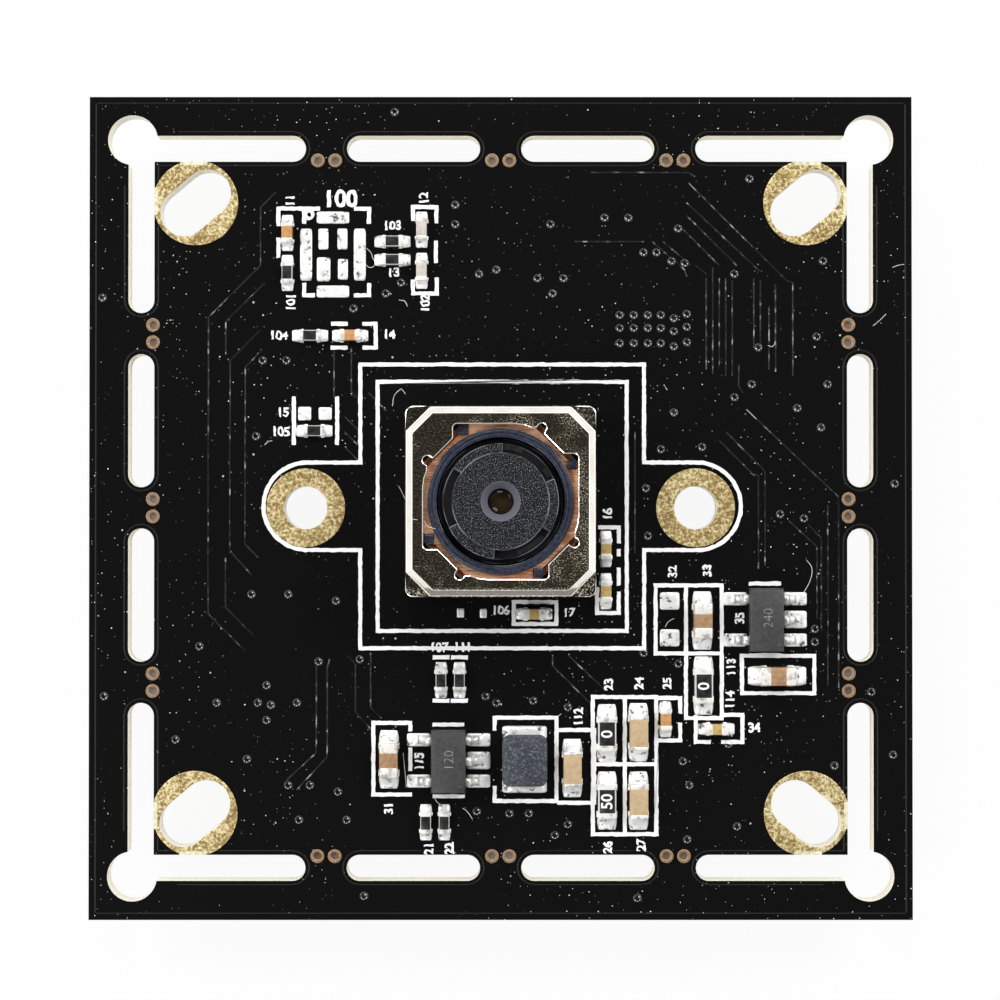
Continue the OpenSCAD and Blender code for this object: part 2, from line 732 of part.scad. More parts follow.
module sensor_cover_glass() {
    color([0.6, 0.75, 0.8]) on_lens_axis() block(sensor_w - 0.1, sensor_l - 0.1, cover_glass_t, sensor_t);
}

module filter_holder() {
    cavity = can_side - 2 * holder_wall;
    color([0.1, 0.1, 0.1]) on_lens_axis() difference() {
        block(can_side, can_side, holder_h);
        block(cavity, cavity, holder_h - holder_ceiling_t + 1, -1);
        block(holder_window, holder_window, holder_h + 1);
        block(filter_side + 0.1, filter_side + 0.1, filter_t + 1, filter_floor);
    }
}

module infrared_filter() {
    color([0.7, 0.5, 0.55]) on_lens_axis() block(filter_side, filter_side, filter_t, filter_floor);
}

// ---------- focus motor ----------

module motor_base() {
    color([0.12, 0.12, 0.12]) on_lens_axis() difference() {
        union() {
            block(can_side, can_side, base_flange_t, holder_h);
            translate([0, 0, holder_h]) linear_extrude(base_flange_t + base_plug_h)
                rounded_square(2 * (can_inner_half - plug_clearance), can_corner_r);
        }
        translate([0, 0, holder_h - 1]) cylinder(r = base_hole_r, h = 4);
    }
}

// The opening in the can's top: flat sides, sloped corners, and at each side a pocket and a round notch
module can_opening() {
    pocket_x = 2.12;
    pocket_y = 2.95;
    pocket_r = 0.18;
    notch_at = [1.83, 3.27];
    notch_r = 0.2;
    flat_end = 0.6;
    octagon(opening_half - 0.17, opening_half + 0.03);
    quarter_turns2d() {
        translate([-pocket_x, pocket_y - 0.6])
            square([pocket_x + flat_end, opening_half - pocket_y + 0.6 - pocket_r]);
        translate([-pocket_x + pocket_r, pocket_y])
            square([pocket_x + flat_end - pocket_r, opening_half - pocket_y]);
        translate([-pocket_x + pocket_r, opening_half - pocket_r]) circle(pocket_r, $fn = 32);
        polygon([
            [flat_end - eps, 0], [flat_end - eps, opening_half], [flat_end, opening_half],
            [flat_end + 0.45, opening_half - 0.06], [flat_end + 0.8, opening_half - 0.19], [flat_end + 0.8, 0]
        ]);
        translate(notch_at) circle(notch_r, $fn = 32);
        translate(notch_at) rotate(-32) translate([-notch_r, -0.5]) square([2 * notch_r, 0.5]);
    }
}

module quarter_turns2d() {
    for (quarter = [0 : 3]) rotate(90 * quarter) children();
}

// A square with rounded corners
module rounded_square(side, r) {
    square([side, side - 2 * r], center = true);
    square([side - 2 * r, side], center = true);
    for (x = [-1, 1], y = [-1, 1]) translate([x, y] * (side / 2 - r)) circle(r, $fn = 32);
}

// The octagon of the can's raised top, pulled in all round
module can_top_shape(inset) {
    octagon(can_side / 2 - inset, (can_side - can_cut) / sqrt(2) - inset);
}

module motor_can() {
    color([0.55, 0.52, 0.47]) on_lens_axis() difference() {
        union() {
            translate([0, 0, can_floor]) linear_extrude(can_h - can_bevel_h)
                rounded_square(can_side, can_corner_r);
            hull() {
                translate([0, 0, can_top - can_bevel_h - eps]) linear_extrude(eps) can_top_shape(0.04);
                translate([0, 0, can_top - eps]) linear_extrude(eps) can_top_shape(can_bevel_w);
            }
        }
        translate([0, 0, can_floor - 1]) linear_extrude(can_h - can_bevel_h - can_sheet + 1)
            rounded_square(2 * can_inner_half, can_corner_r - can_sheet);
        translate([0, 0, can_floor]) linear_extrude(can_h - can_sheet)
            can_top_shape(can_bevel_w + 0.1);
        translate([0, 0, can_floor]) linear_extrude(can_h + 1) can_opening();
    }
}

module motor_coil() {
    color([0.72, 0.42, 0.25]) on_lens_axis() translate([0, 0, coil_floor])
        linear_extrude(coil_top - coil_floor) difference() {
            octagon(coil_half, coil_half);
            octagon(carrier_half, carrier_half);
        }
}

module motor_magnet(i) {
    low = magnet_reach * sqrt(2) - can_inner_half;
    color([0.5, 0.5, 0.52]) on_lens_axis() rotate([0, 0, 90 * i]) translate([0, 0, coil_floor])
        linear_extrude(spring_level - coil_floor) polygon([
            [can_inner_half, low], [can_inner_half, can_inner_half - magnet_flat],
            [can_inner_half - magnet_flat, can_inner_half], [low, can_inner_half]
        ]);
}

// The lens carrier: an octagonal bobbin with a round rim and four tabs that show in the can's pockets
module lens_carrier() {
    tab_x = 1.9;
    tab_w = 0.42;
    tab_y = 2.99;
    tab_l = 0.38;
    color([0.2, 0.22, 0.32]) on_lens_axis() difference() {
        union() {
            translate([0, 0, carriage_floor]) linear_extrude(carrier_flange_t) octagon(coil_half, coil_half);
            translate([0, 0, carriage_floor]) linear_extrude(spring_level - carriage_floor)
                octagon(carrier_half, carrier_half);
            translate([0, 0, carriage_floor]) cylinder(r = carrier_rim_r, h = rim_top - carriage_floor);
            quarter_turns() translate([-tab_x, tab_y, coil_top]) cube([tab_w, tab_l, rim_top - 0.1 - coil_top]);
        }
        translate([0, 0, carriage_floor - 1]) cylinder(r = carrier_bore_r, h = can_h + 2);
    }
}

// A spring's corner pads, which the motor clamps, and the thin arms that join them to its ring
module spring_corners(ring_half) {
    pad_side = 0.7;
    pad_at = can_inner_half - 0.15 - pad_side;
    arm_w = 0.2;
    arm_x = can_inner_half - 0.15 - arm_w;
    arm_start = 0.6;
    root_w = 0.25;
    quarter_turns2d() {
        translate([pad_at, pad_at]) square(pad_side);
        translate([arm_x, arm_start]) square([arm_w, pad_at + arm_w - arm_start]);
        translate([ring_half - root_w, arm_start]) square([arm_x + arm_w - ring_half + root_w, root_w]);
    }
}

module upper_leaf_spring() {
    pocket_x = 2.1;
    tab_slot_x = 1.44;
    tab_slot_y = 2.97;
    tab_slot_l = 0.46;
    color([0.74, 0.47, 0.35]) on_lens_axis() translate([0, 0, spring_level]) linear_extrude(spring_t)
        difference() {
            union() {
                octagon(carrier_half + upper_spring_rim, carrier_half + 0.07);
                spring_corners(carrier_half + upper_spring_rim);
            }
            circle(carrier_rim_r + 0.02);
            quarter_turns2d() translate([-pocket_x - 0.3, tab_slot_y])
                square([pocket_x + 0.3 - tab_slot_x, tab_slot_l]);
        }
}

module lower_leaf_spring() {
    split = 0.3;
    color([0.74, 0.47, 0.35]) on_lens_axis() translate([0, 0, carriage_floor - spring_t])
        linear_extrude(spring_t) difference() {
            union() {
                octagon(carrier_half + lower_spring_rim, carrier_half);
                spring_corners(carrier_half + lower_spring_rim);
            }
            circle(base_hole_r + 0.1);
            square([split, 2 * can_side], center = true);
        }
}

// ---------- lens ----------

// Angles at which the three lobes of the barrel's head start and end
barrel_lobes = [[-31, 23], [88, 144], [207, 263]];

module sector(r, from, to) {
    intersection() {
        circle(r);
        polygon(concat([[0, 0]], [
            for (step = [0 : 4]) let (a = from + (to - from) * step / 4) 2 * r * [cos(a), sin(a)]
        ]));
    }
}

module lens_barrel() {
    color([0.17, 0.17, 0.19]) on_lens_axis() difference() {
        union() {
            translate([0, 0, carriage_floor + 0.1])
                cylinder(r = barrel_r, h = head_floor - carriage_floor - 0.1);
            translate([0, 0, barrel_floor]) cylinder(r = barrel_waist_r, h = head_floor - barrel_floor);
            translate([0, 0, barrel_floor]) cylinder(r = barrel_head_r, h = recess_floor - barrel_floor);
            translate([0, 0, barrel_floor]) cylinder(r = barrel_face_r, h = barrel_top - barrel_floor);
            translate([0, 0, recess_floor - eps]) linear_extrude(barrel_top - face_step - recess_floor + eps)
                for (lobe = barrel_lobes) sector(barrel_head_r, lobe[0], lobe[1]);
        }
        translate([0, 0, barrel_top - cone_depth])
            cylinder(r1 = cone_throat_r, r2 = cone_mouth_r, h = cone_depth + eps);
        translate([0, 0, element_top - 1]) cylinder(r = cone_throat_r, h = 2);
        for (i = [0 : 3])
            translate([0, 0, barrel_floor - 1])
                cylinder(r = element_r[i] + element_clearance, h = element_floor(i - 1) - barrel_floor + 1);
    }
}

// A lens: a flat-rimmed disc with a bulging front and a hollow back
module lens_element(i) {
    bulge_r = i == 0 ? cone_throat_r - 0.04 : 0.7 * element_r[i];
    ball_r = (bulge_r * bulge_r + element_bulge * element_bulge) / (2 * element_bulge);
    next_bulge_r = 0.7 * element_r[min(i + 1, 3)];
    hollow = element_bulge + 0.04;
    hollow_r = next_bulge_r + 0.05;
    hollow_ball_r = (hollow_r * hollow_r + hollow * hollow) / (2 * hollow);
    color([0.55, 0.6, 0.62]) on_lens_axis() difference() {
        union() {
            translate([0, 0, element_floor(i)]) cylinder(r = element_r[i], h = element_t[i]);
            intersection() {
                translate([0, 0, element_floor(i) + element_t[i] + element_bulge - ball_r]) sphere(ball_r);
                translate([0, 0, element_floor(i) + element_t[i] - eps]) cylinder(r = bulge_r, h = 1);
            }
        }
        translate([0, 0, element_floor(i) + hollow - hollow_ball_r]) sphere(hollow_ball_r);
    }
}

module lens_retaining_ring() {
    ring_t = element_floor(3) - barrel_floor - 0.1;
    color([0.1, 0.1, 0.1]) on_lens_axis() translate([0, 0, element_floor(3) - ring_t]) difference() {
        cylinder(r = element_r[3], h = ring_t);
        translate([0, 0, -1]) cylinder(r = 0.76 * element_r[3], h = ring_t + 2);
    }
}

// ---------- back of the board ----------

// Children turned to hang under the board's back, with Z counted away from it
module on_back(at) {
    translate([at[0], at[1], 0]) mirror([0, 0, 1]) children();
}

module image_processor() {
    lead_t = 0.05;
    lands = 12;
    land_pitch = 0.5;
    color([0.15, 0.15, 0.16]) on_back(processor_at) {
        block(processor_side, processor_side, processor_h - lead_t, lead_t);
        block(0.7 * processor_side, 0.7 * processor_side, lead_t);
        quarter_turns() for (i = [0 : lands - 1])
            translate([(i - (lands - 1) / 2) * land_pitch, processor_side / 2 - 0.25, 0])
                block(0.24, 0.5, 2 * lead_t);
    }
}

module flash_memory() {
    stand_off = 0.1;
    middle = 0.5 * flash_h;
    lead_reach = 1.05;
    lead_pitch = 1.27;
    color([0.16, 0.16, 0.16]) on_back(flash_at) {
        block(flash_w - 0.12, flash_l - 0.12, flash_h - stand_off, stand_off);
        block(flash_w, flash_l, 0.3, middle - 0.15);
        for (side = [0, 180], i = [0 : 3])
            rotate([0, 0, side]) translate([flash_w / 2, (i - 1.5) * lead_pitch, 0])
                gull_wing_lead(lead_reach, middle + 0.08, 0.42, 0.2);
    }
}

module crystal() {
    color([0.75, 0.74, 0.7]) on_back(crystal_at) {
        block(3.2, 2.5, 0.25);
        block(2.9, 2.2, 0.7);
    }
}

socket_front_y = -inner_half + 0.35;
socket_back_y = socket_front_y + socket_d;
socket_mouth_w = socket_w - 2 * socket_wall;
socket_floor_t = 0.45;
socket_back_t = 0.9;
pin_w = 0.3;
pin_level = 1.4;

function pin_x(i) = (i - (socket_pins - 1) / 2) * socket_pitch;

module cable_socket() {
    key_w = 1.9;
    key_l = 0.5;
    color([0.92, 0.9, 0.84]) on_back([socket_at_x, 0]) difference() {
        union() {
            translate([-socket_w / 2, socket_front_y, 0]) cube([socket_w, socket_d, socket_h]);
            translate([-key_w / 2, socket_front_y - key_l, 0]) cube([key_w, 2 * key_l, socket_floor_t]);
        }
        translate([-socket_mouth_w / 2, socket_front_y - 1, socket_floor_t])
            cube([socket_mouth_w, socket_d - socket_back_t + 1, socket_h - 2 * socket_floor_t]);
        for (side = [-1, 1])
            translate([side * socket_mouth_w / 4 - 0.6, socket_front_y - 1, socket_h - socket_floor_t - eps])
                cube([1.2, 2.4, 1]);
        for (i = [0 : socket_pins - 1])
            translate([pin_x(i) - pin_w / 2 - eps, socket_back_y - 2 * socket_back_t, pin_level - eps])
                cube([pin_w + 2 * eps, 3 * socket_back_t, pin_w + 2 * eps]);
    }
}

// The four bent pins: a straight run through the socket's rear wall, down its back and out as a foot
module socket_pins() {
    pin_start = socket_front_y + 1;
    drop_y = socket_back_y + 0.05;
    foot_l = 0.9;
    foot_t = 0.2;
    color([0.8, 0.78, 0.7]) on_back([socket_at_x, 0])
        for (i = [0 : socket_pins - 1]) translate([pin_x(i) - pin_w / 2, 0, 0]) {
            translate([0, pin_start, pin_level]) cube([pin_w, drop_y + pin_w - pin_start, pin_w]);
            translate([0, drop_y, 0]) cube([pin_w, pin_w, pin_level + pin_w]);
            translate([0, drop_y, 0]) cube([pin_w, foot_l, foot_t]);
        }
}

circuit_board();
gold_plating();
printed_lines();
solder_joints();
image_sensor();
sensor_cover_glass();
filter_holder();
infrared_filter();
motor_base();
motor_can();
motor_coil();
for (i = [0 : 3]) motor_magnet(i);
lens_carrier();
upper_leaf_spring();
lower_leaf_spring();
lens_barrel();
for (i = [0 : 3]) lens_element(i);
lens_retaining_ring();
for (i = [0 : len(small_cap_at) - 1])
    small_capacitor(i);
for (i = [0 : len(large_cap_at) - 1])
    large_capacitor(i);
for (i = [0 : len(small_res_at) - 1])
    small_resistor(i);
for (i = [0 : len(large_res_at) - 1])
    large_resistor(i);
for (i = [0 : 1]) regulator(i);
power_inductor();
image_processor();
flash_memory();
crystal();
cable_socket();
socket_pins();
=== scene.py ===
import math

import bmesh
import bpy
from mathutils import Matrix, Vector, noise


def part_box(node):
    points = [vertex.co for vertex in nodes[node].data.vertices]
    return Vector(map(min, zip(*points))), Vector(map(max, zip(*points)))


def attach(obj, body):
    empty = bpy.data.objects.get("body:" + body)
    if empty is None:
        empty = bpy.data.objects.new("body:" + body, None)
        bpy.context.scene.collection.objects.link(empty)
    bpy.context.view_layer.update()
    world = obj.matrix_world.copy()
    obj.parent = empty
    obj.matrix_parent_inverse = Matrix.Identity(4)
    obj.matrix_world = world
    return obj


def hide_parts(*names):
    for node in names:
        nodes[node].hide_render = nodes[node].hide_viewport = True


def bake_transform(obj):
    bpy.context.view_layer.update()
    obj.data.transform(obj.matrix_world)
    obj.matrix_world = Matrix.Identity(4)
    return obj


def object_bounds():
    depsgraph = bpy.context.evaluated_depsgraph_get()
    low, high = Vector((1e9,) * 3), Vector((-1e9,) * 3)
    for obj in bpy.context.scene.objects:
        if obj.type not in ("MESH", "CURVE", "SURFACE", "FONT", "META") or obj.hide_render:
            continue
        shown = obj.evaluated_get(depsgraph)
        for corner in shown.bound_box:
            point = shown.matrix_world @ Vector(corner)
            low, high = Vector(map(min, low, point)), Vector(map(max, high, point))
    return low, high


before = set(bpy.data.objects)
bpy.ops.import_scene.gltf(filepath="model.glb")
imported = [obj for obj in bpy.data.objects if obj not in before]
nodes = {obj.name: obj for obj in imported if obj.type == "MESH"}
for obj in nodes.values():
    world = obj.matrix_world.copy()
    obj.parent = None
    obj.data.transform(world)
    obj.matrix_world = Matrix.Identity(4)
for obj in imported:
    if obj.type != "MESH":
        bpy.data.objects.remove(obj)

cad_bounds = [list(corner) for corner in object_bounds()]

# ---------------------------------------------------------------------------
# The table and the light. The module lies on a white table inside a light tent: pale cloth
# all round, an open dark top to look in through, and soft lamps at the sides.
# ---------------------------------------------------------------------------

MM = 0.001


def new_finish(name, colour, roughness, metallic=0.0):
    """A material with one shader, to which the detail of the surface is then added."""
    finish = bpy.data.materials.new(name)
    finish.use_nodes = True
    shader = finish.node_tree.nodes["Principled BSDF"]
    shader.inputs["Base Color"].default_value = (*colour, 1.0)
    shader.inputs["Roughness"].default_value = roughness
    shader.inputs["Metallic"].default_value = metallic
    return finish


def put(owner, kind, inputs=None, **settings):
    """Adds a node to a material or to the world, with its settings and its inputs."""
    tree = owner.node_tree
    made = tree.nodes.new("ShaderNode" + kind)
    for name, value in settings.items():
        setattr(made, name, value)
    for name, value in (inputs or {}).items():
        if isinstance(value, bpy.types.NodeSocket):
            tree.links.new(value, made.inputs[name])
        else:
            made.inputs[name].default_value = value
    return made


def maths(owner, operation, first, second=None):
    """The outcome of a sum on one or two values."""
    values = {0: first} if second is None else {0: first, 1: second}
    return put(owner, "Math", values, operation=operation).outputs[0]


def mapped(owner, value, source, target=(0.0, 1.0)):
    """Maps a value from one range to another and keeps it inside."""
    return put(owner, "MapRange", {
        "Value": value, "From Min": source[0], "From Max": source[1],
        "To Min": target[0], "To Max": target[1],
    }).outputs["Result"]


def ramp(owner, factor, *stops):
    """Turns a value into a colour through stops of position and colour."""
    made = put(owner, "ValToRGB", {"Fac": factor})
    band = made.color_ramp
    while len(band.elements) < len(stops):
        band.elements.new(0.5)
    for element, (position, colour) in zip(band.elements, stops):
        element.position = position
        element.color = (*colour, 1.0) if len(colour) == 3 else colour
    return made.outputs["Color"]


def grey(level):
    return (level, level, level)


table_radius = 0.6
table_drop = 0.02 * MM
table_keeps_shadow = 0.08

table_shape = bmesh.new()
bmesh.ops.create_circle(table_shape, cap_ends=True, segments=96, radius=table_radius)
table_mesh = bpy.data.meshes.new("table")
table_shape.to_mesh(table_mesh)
table_shape.free()
table = bpy.data.objects.new("table", table_mesh)
table.data.transform(Matrix.Translation((0, 0, cad_bounds[0][2] - table_drop)))
bpy.context.scene.collection.objects.link(table)

table_white = new_finish("table_white", grey(0.85), 0.9)
seen = put(table_white, "LightPath").outputs
seen_or_mirrored = maths(table_white, "MAXIMUM", seen["Is Camera Ray"], seen["Is Glossy Ray"])
seen_at_all = maths(table_white, "MAXIMUM", seen_or_mirrored, seen["Is Transmission Ray"])
white_share = maths(table_white, "MULTIPLY", seen_at_all, 1.0 - table_keeps_shadow)
white = put(table_white, "Emission", {"Color": (1, 1, 1, 1), "Strength": 1.0})
table_nodes = table_white.node_tree.nodes
table_mix = put(table_white, "MixShader", {
    "Fac": white_share, 1: table_nodes["Principled BSDF"].outputs[0], 2: white.outputs[0],
})
table_white.node_tree.links.new(table_mix.outputs[0], table_nodes["Material Output"].inputs["Surface"])
table.data.materials.append(table_white)

tent = bpy.data.worlds.new("light_tent")
bpy.context.scene.world = tent
tent.use_nodes = True
way = put(tent, "SeparateXYZ", {"Vector": put(tent, "TexCoord").outputs["Generated"]})
cloth_light = ramp(
    tent, way.outputs["Z"],
    (0.0, grey(1.35)), (0.45, grey(1.3)), (0.72, grey(0.45)), (0.86, grey(0.06)), (1.0, grey(0.02)),
)
near_side = mapped(tent, way.outputs["Y"], (-0.9, -0.2), (0.2, 1.0))
sky = tent.node_tree.nodes["Background"].inputs
tent.node_tree.links.new(cloth_light, sky["Color"])
tent.node_tree.links.new(near_side, sky["Strength"])

# Each lamp: direction round the table, height above it, side of its square face, power
lamps = {
    "right_lamp": (30, 42, 0.09, 0.21),
    "left_lamp": (160, 40, 0.09, 0.19),
    "near_lamp": (235, 48, 0.08, 0.15),
    "far_lamp": (95, 45, 0.08, 0.15),
}
lamp_distance = 0.24
for lamp_name, (around, height, side, power) in lamps.items():
    light = bpy.data.lights.new(lamp_name, "AREA")
    light.size = side
    light.energy = power
    lamp = bpy.data.objects.new(lamp_name, light)
    direction = Vector((
        math.cos(math.radians(around)) * math.cos(math.radians(height)),
        math.sin(math.radians(around)) * math.cos(math.radians(height)),
        math.sin(math.radians(height)),
    ))
    lamp.location = direction * lamp_distance
    lamp.rotation_euler = direction.to_track_quat("Z", "Y").to_euler()
    bpy.context.scene.collection.objects.link(lamp)

camera_lean = math.radians(0.6)
camera_high = 118 * MM
looked_at = Vector((-0.03 * MM, 0.36 * MM, 1.2 * MM))
camera_data = bpy.data.cameras.new("camera")
camera_data.angle = math.radians(22.14)
camera_data.clip_start = 1 * MM
camera = bpy.data.objects.new("camera", camera_data)
camera.location = looked_at + Vector((0, -math.sin(camera_lean), math.cos(camera_lean))) * camera_high
camera.rotation_euler = (camera_lean, 0, 0)
bpy.context.scene.collection.objects.link(camera)
bpy.context.scene.camera = camera
bpy.context.scene.view_settings.view_transform = "Standard"

# ---------------------------------------------------------------------------
# Circuit board: glass-fibre laminate, 1.2 mm thick, under a glossy black solder mask that a few
# dust specks have settled on. Its routed and cut edges show the bare cream laminate.
# ---------------------------------------------------------------------------


def dress(node, *finishes):
    """Gives a CAD solid its finish."""
    nodes[node].data.materials.clear()
    for finish in finishes:
        nodes[node].data.materials.append(finish)


def whole(finish, factor, first, second):
    """Mixes two colours by a value and returns the colour."""
    mix = put(finish, "Mix", data_type="RGBA")
    links = finish.node_tree.links
    for socket, value in (("Factor", factor), ("A", first), ("B", second)):
        target = [entry for entry in mix.inputs if entry.name == socket and entry.enabled][0]
        if isinstance(value, bpy.types.NodeSocket):
            links.new(value, target)
        else:
            target.default_value = value if socket == "Factor" else (*value, 1.0)
    return [entry for entry in mix.outputs if entry.enabled][0]


def paint(finish, socket, value):
    """Links a value to the shader of a material."""
    finish.node_tree.links.new(value, finish.node_tree.nodes["Principled BSDF"].inputs[socket])


def preset(finish, socket, value):
    """Sets a value that is the same all over a material."""
    finish.node_tree.nodes["Principled BSDF"].inputs[socket].default_value = value


def place_of(finish):
    return put(finish, "TexCoord").outputs["Object"]


def way_of_face(finish):
    """The direction in which the surface faces, as its three parts."""
    return put(finish, "SeparateXYZ", {"Vector": put(finish, "TexCoord").outputs["Normal"]}).outputs


def spot(finish, vector=None):
    """The place on the object, as its three parts."""
    return put(finish, "SeparateXYZ", {"Vector": vector or place_of(finish)}).outputs


def grain(finish, scale, detail=2.0, roughness=0.5, at=None):
    """A cloudy value that changes over the surface, finer with a larger scale."""
    return put(finish, "TexNoise", {
        "Vector": at or place_of(finish), "Scale": scale, "Detail": detail, "Roughness": roughness,
    }).outputs["Fac"]


def relief(finish, height, depth, strength=1.0):
    """A small unevenness of the surface, as deep as stated."""
    bump = put(finish, "Bump", {"Height": height, "Distance": depth, "Strength": strength})
    paint(finish, "Normal", bump.outputs["Normal"])


def specks(finish, spacing, size, share):
    """Light where a speck lies: one may lie in each cell, of any size, and only in a share of them."""
    cells = put(finish, "TexVoronoi", {
        "Vector": place_of(finish), "Scale": 1.0 / spacing, "Randomness": 1.0,
    }).outputs
    chance = put(finish, "SeparateColor", {"Color": cells["Color"]}).outputs
    reach = maths(finish, "MULTIPLY", chance["Green"], size)
    near = maths(finish, "LESS_THAN", cells["Distance"], reach)
    chosen = maths(finish, "LESS_THAN", chance["Red"], share)
    lit = mapped(finish, chance["Blue"], (0.0, 1.0), (0.25, 1.0))
    return maths(finish, "MULTIPLY", maths(finish, "MULTIPLY", near, chosen), lit)


mask_black = grey(0.0045)
dust_white = (0.85, 0.85, 0.82)
laminate_cream = (0.8, 0.77, 0.68)

solder_mask = new_finish("solder_mask", mask_black, 0.16)
fine_dust = specks(solder_mask, 0.15 * MM, 0.2, 0.36)
coarse_dust = specks(solder_mask, 0.5 * MM, 0.1, 0.4)
drift = grain(solder_mask, 130.0, 2.0)
drifted = mapped(solder_mask, drift, (0.4, 0.62))
fine_here = maths(solder_mask, "MULTIPLY", fine_dust, drifted)
all_dust = maths(solder_mask, "MAXIMUM", fine_here, coarse_dust)
facing = way_of_face(solder_mask)
upward = maths(solder_mask, "GREATER_THAN", facing["Z"], 0.5)
dust_on_top = maths(solder_mask, "MULTIPLY", all_dust, upward)
levelness = maths(solder_mask, "ABSOLUTE", facing["Z"])
cut_edge = maths(solder_mask, "LESS_THAN", levelness, 0.5)
mask_colour = whole(solder_mask, dust_on_top, mask_black, dust_white)
glass_grain = grain(solder_mask, 6000.0, 3.0)
laminate_colour = whole(solder_mask, glass_grain, (0.66, 0.62, 0.52), laminate_cream)
paint(solder_mask, "Base Color", whole(solder_mask, cut_edge, mask_colour, laminate_colour))
rough = maths(solder_mask, "MAXIMUM", cut_edge, dust_on_top)
mask_rough = mapped(solder_mask, rough, (0.0, 1.0), (0.16, 0.8))
paint(solder_mask, "Roughness", mask_rough)
orange_peel = grain(solder_mask, 1500.0, 2.0)
relief(solder_mask, orange_peel, 0.004 * MM, 0.3)
# Painted light: the cut edges glow by emission, standing in for light that has entered the laminate elsewhere
# and leaves again at its cut edges
painted_edge_glow = maths(solder_mask, "MULTIPLY", cut_edge, 0.12)
paint(solder_mask, "Emission Strength", painted_edge_glow)
preset(solder_mask, "Emission Color", (1.0, 0.97, 0.9, 1.0))
dress("circuit_board", solder_mask)

# ---------------------------------------------------------------------------
# Covered tracks: copper lines 0.15 mm wide etched on the board, which lift the black mask in low
# ridges. They are part of the board and show only where their sloped sides catch the light.
# ---------------------------------------------------------------------------

board_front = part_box("circuit_board")[1].z


def make_piece(name, shape, *finishes, body="board", smooth=True):
    """Turns a finished shape into a piece, which rides on a body unless that is None."""
    mesh = bpy.data.meshes.new(name)
    for face in shape.faces:
        face.smooth = smooth
    shape.to_mesh(mesh)
    shape.free()
    for finish in finishes:
        mesh.materials.append(finish)
    made = bpy.data.objects.new(name, mesh)
    bpy.context.scene.collection.objects.link(made)
    if body:
        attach(made, body)
    return made


def add_ridge(shape, start, end, width, height, level, slope=0.3):
    """A low ridge from one point of the board to another, its long sides sloped."""
    start, end = Vector(start) * MM, Vector(end) * MM
    run = end - start
    made = bmesh.ops.create_cube(shape, size=1.0)["verts"]
    bmesh.ops.scale(shape, verts=made, vec=(run.length + width * slope, width, height))
    for vert in made:
        if vert.co.z > 0:
            vert.co.y *= slope
    turn = Matrix.Rotation(math.atan2(run.y, run.x), 4, "Z")
    middle = (start + end) / 2
    bmesh.ops.transform(
        shape, verts=made,
        matrix=Matrix.Translation((middle.x, middle.y, level + height / 2)) @ turn,
    )


# Runs of the tracks over the board, in millimetres
track_runs = [
    [(-10.4, 14.6), (-11.1, 13.9), (-11.1, 11.2), (-13.5, 8.8), (-13.5, -4.9), (-11.8, -6.6)],
    [(-10.9, 10.4), (-12.7, 8.6), (-12.7, 7.1)],
    [(-11.1, 8.2), (-12.5, 6.8), (-12.5, -2.0), (-11.5, -3.1)],
    [(-11.0, 7.3), (-11.8, 6.5), (-11.8, -1.7), (-11.2, -2.3)],
    [(-12.7, -2.3), (-12.7, -4.6), (-11.4, -5.9)],
    [(-7.7, 7.4), (-7.7, 5.1)],
    [(-6.9, 7.4), (-6.9, 5.4), (-6.7, 5.1)],
    [(8.7, 15.0), (13.2, 10.5), (13.5, 10.4), (13.5, 6.1)],
    [(8.6, 14.1), (12.0, 10.9)],
    [(8.6, 13.5), (10.9, 11.2)],
    [(8.4, 12.9), (10.1, 11.2)],
    [(9.8, 11.1), (9.8, 6.2)],
    [(10.4, 10.6), (10.4, 6.1)],
    [(10.7, 10.5), (10.7, 6.1)],
    [(11.7, 10.6), (11.7, 7.4)],
    [(12.0, 10.5), (12.0, 7.5)],
    [(12.7, 10.3), (12.7, 6.3)],
    [(11.4, 4.5), (15.6, 0.5), (15.6, -8.3)],
    [(10.4, 3.5), (12.1, 1.8), (12.2, 1.6), (12.2, -2.7)],
    [(10.1, 3.1), (11.7, 1.5), (11.9, 1.5), (11.9, -2.8)],
    [(13.3, -0.6), (14.6, -1.8), (14.6, -5.1)],
    [(14.2, -0.8), (14.8, -1.4), (14.8, -5.7)],
    [(15.1, 0.1), (15.1, -8.2)],
    [(6.2, 3.5), (6.2, -2.1)],
    [(-8.5, -7.2), (-8.5, -11.3), (-9.9, -12.6)],
    [(-7.9, -7.0), (-8.0, -7.4), (-8.0, -11.5), (-9.4, -13.0)],
    [(-7.1, -6.8), (-6.7, -7.2), (-6.7, -9.4), (-6.0, -10.2)],
    [(-6.0, -6.7), (-6.0, -9.2), (-5.5, -9.7)],
    [(7.0, 12.3), (8.5, 11.0), (8.6, 10.7)],
    [(7.5, 12.3), (8.8, 11.2)],
    [(9.0, 11.2), (9.5, 10.8)],
    [(9.5, 10.6), (9.5, 6.4)],
    [(10.1, 10.6), (10.1, 6.6)],
    [(12.4, 9.3), (12.4, 6.4)],
    [(11.0, 6.6), (11.0, 5.6), (11.2, 5.3)],
    [(4.2, 15.5), (8.7, 15.5), (9.0, 15.3)],
    [(3.4, 12.3), (6.6, 12.3)],
    [(-6.1, 5.3), (-5.3, 4.5)],
    [(-7.2, 4.2), (-6.4, 3.4)],
    [(-7.2, 3.5), (-6.4, 2.7)],
    [(-7.2, 2.8), (-6.4, 2.0)],
    [(2.4, -6.8), (2.4, -7.3), (4.0, -8.9)],
    [(3.1, -6.8), (4.8, -8.4)],
]
track_width = 0.06 * MM
track_height = 0.024 * MM
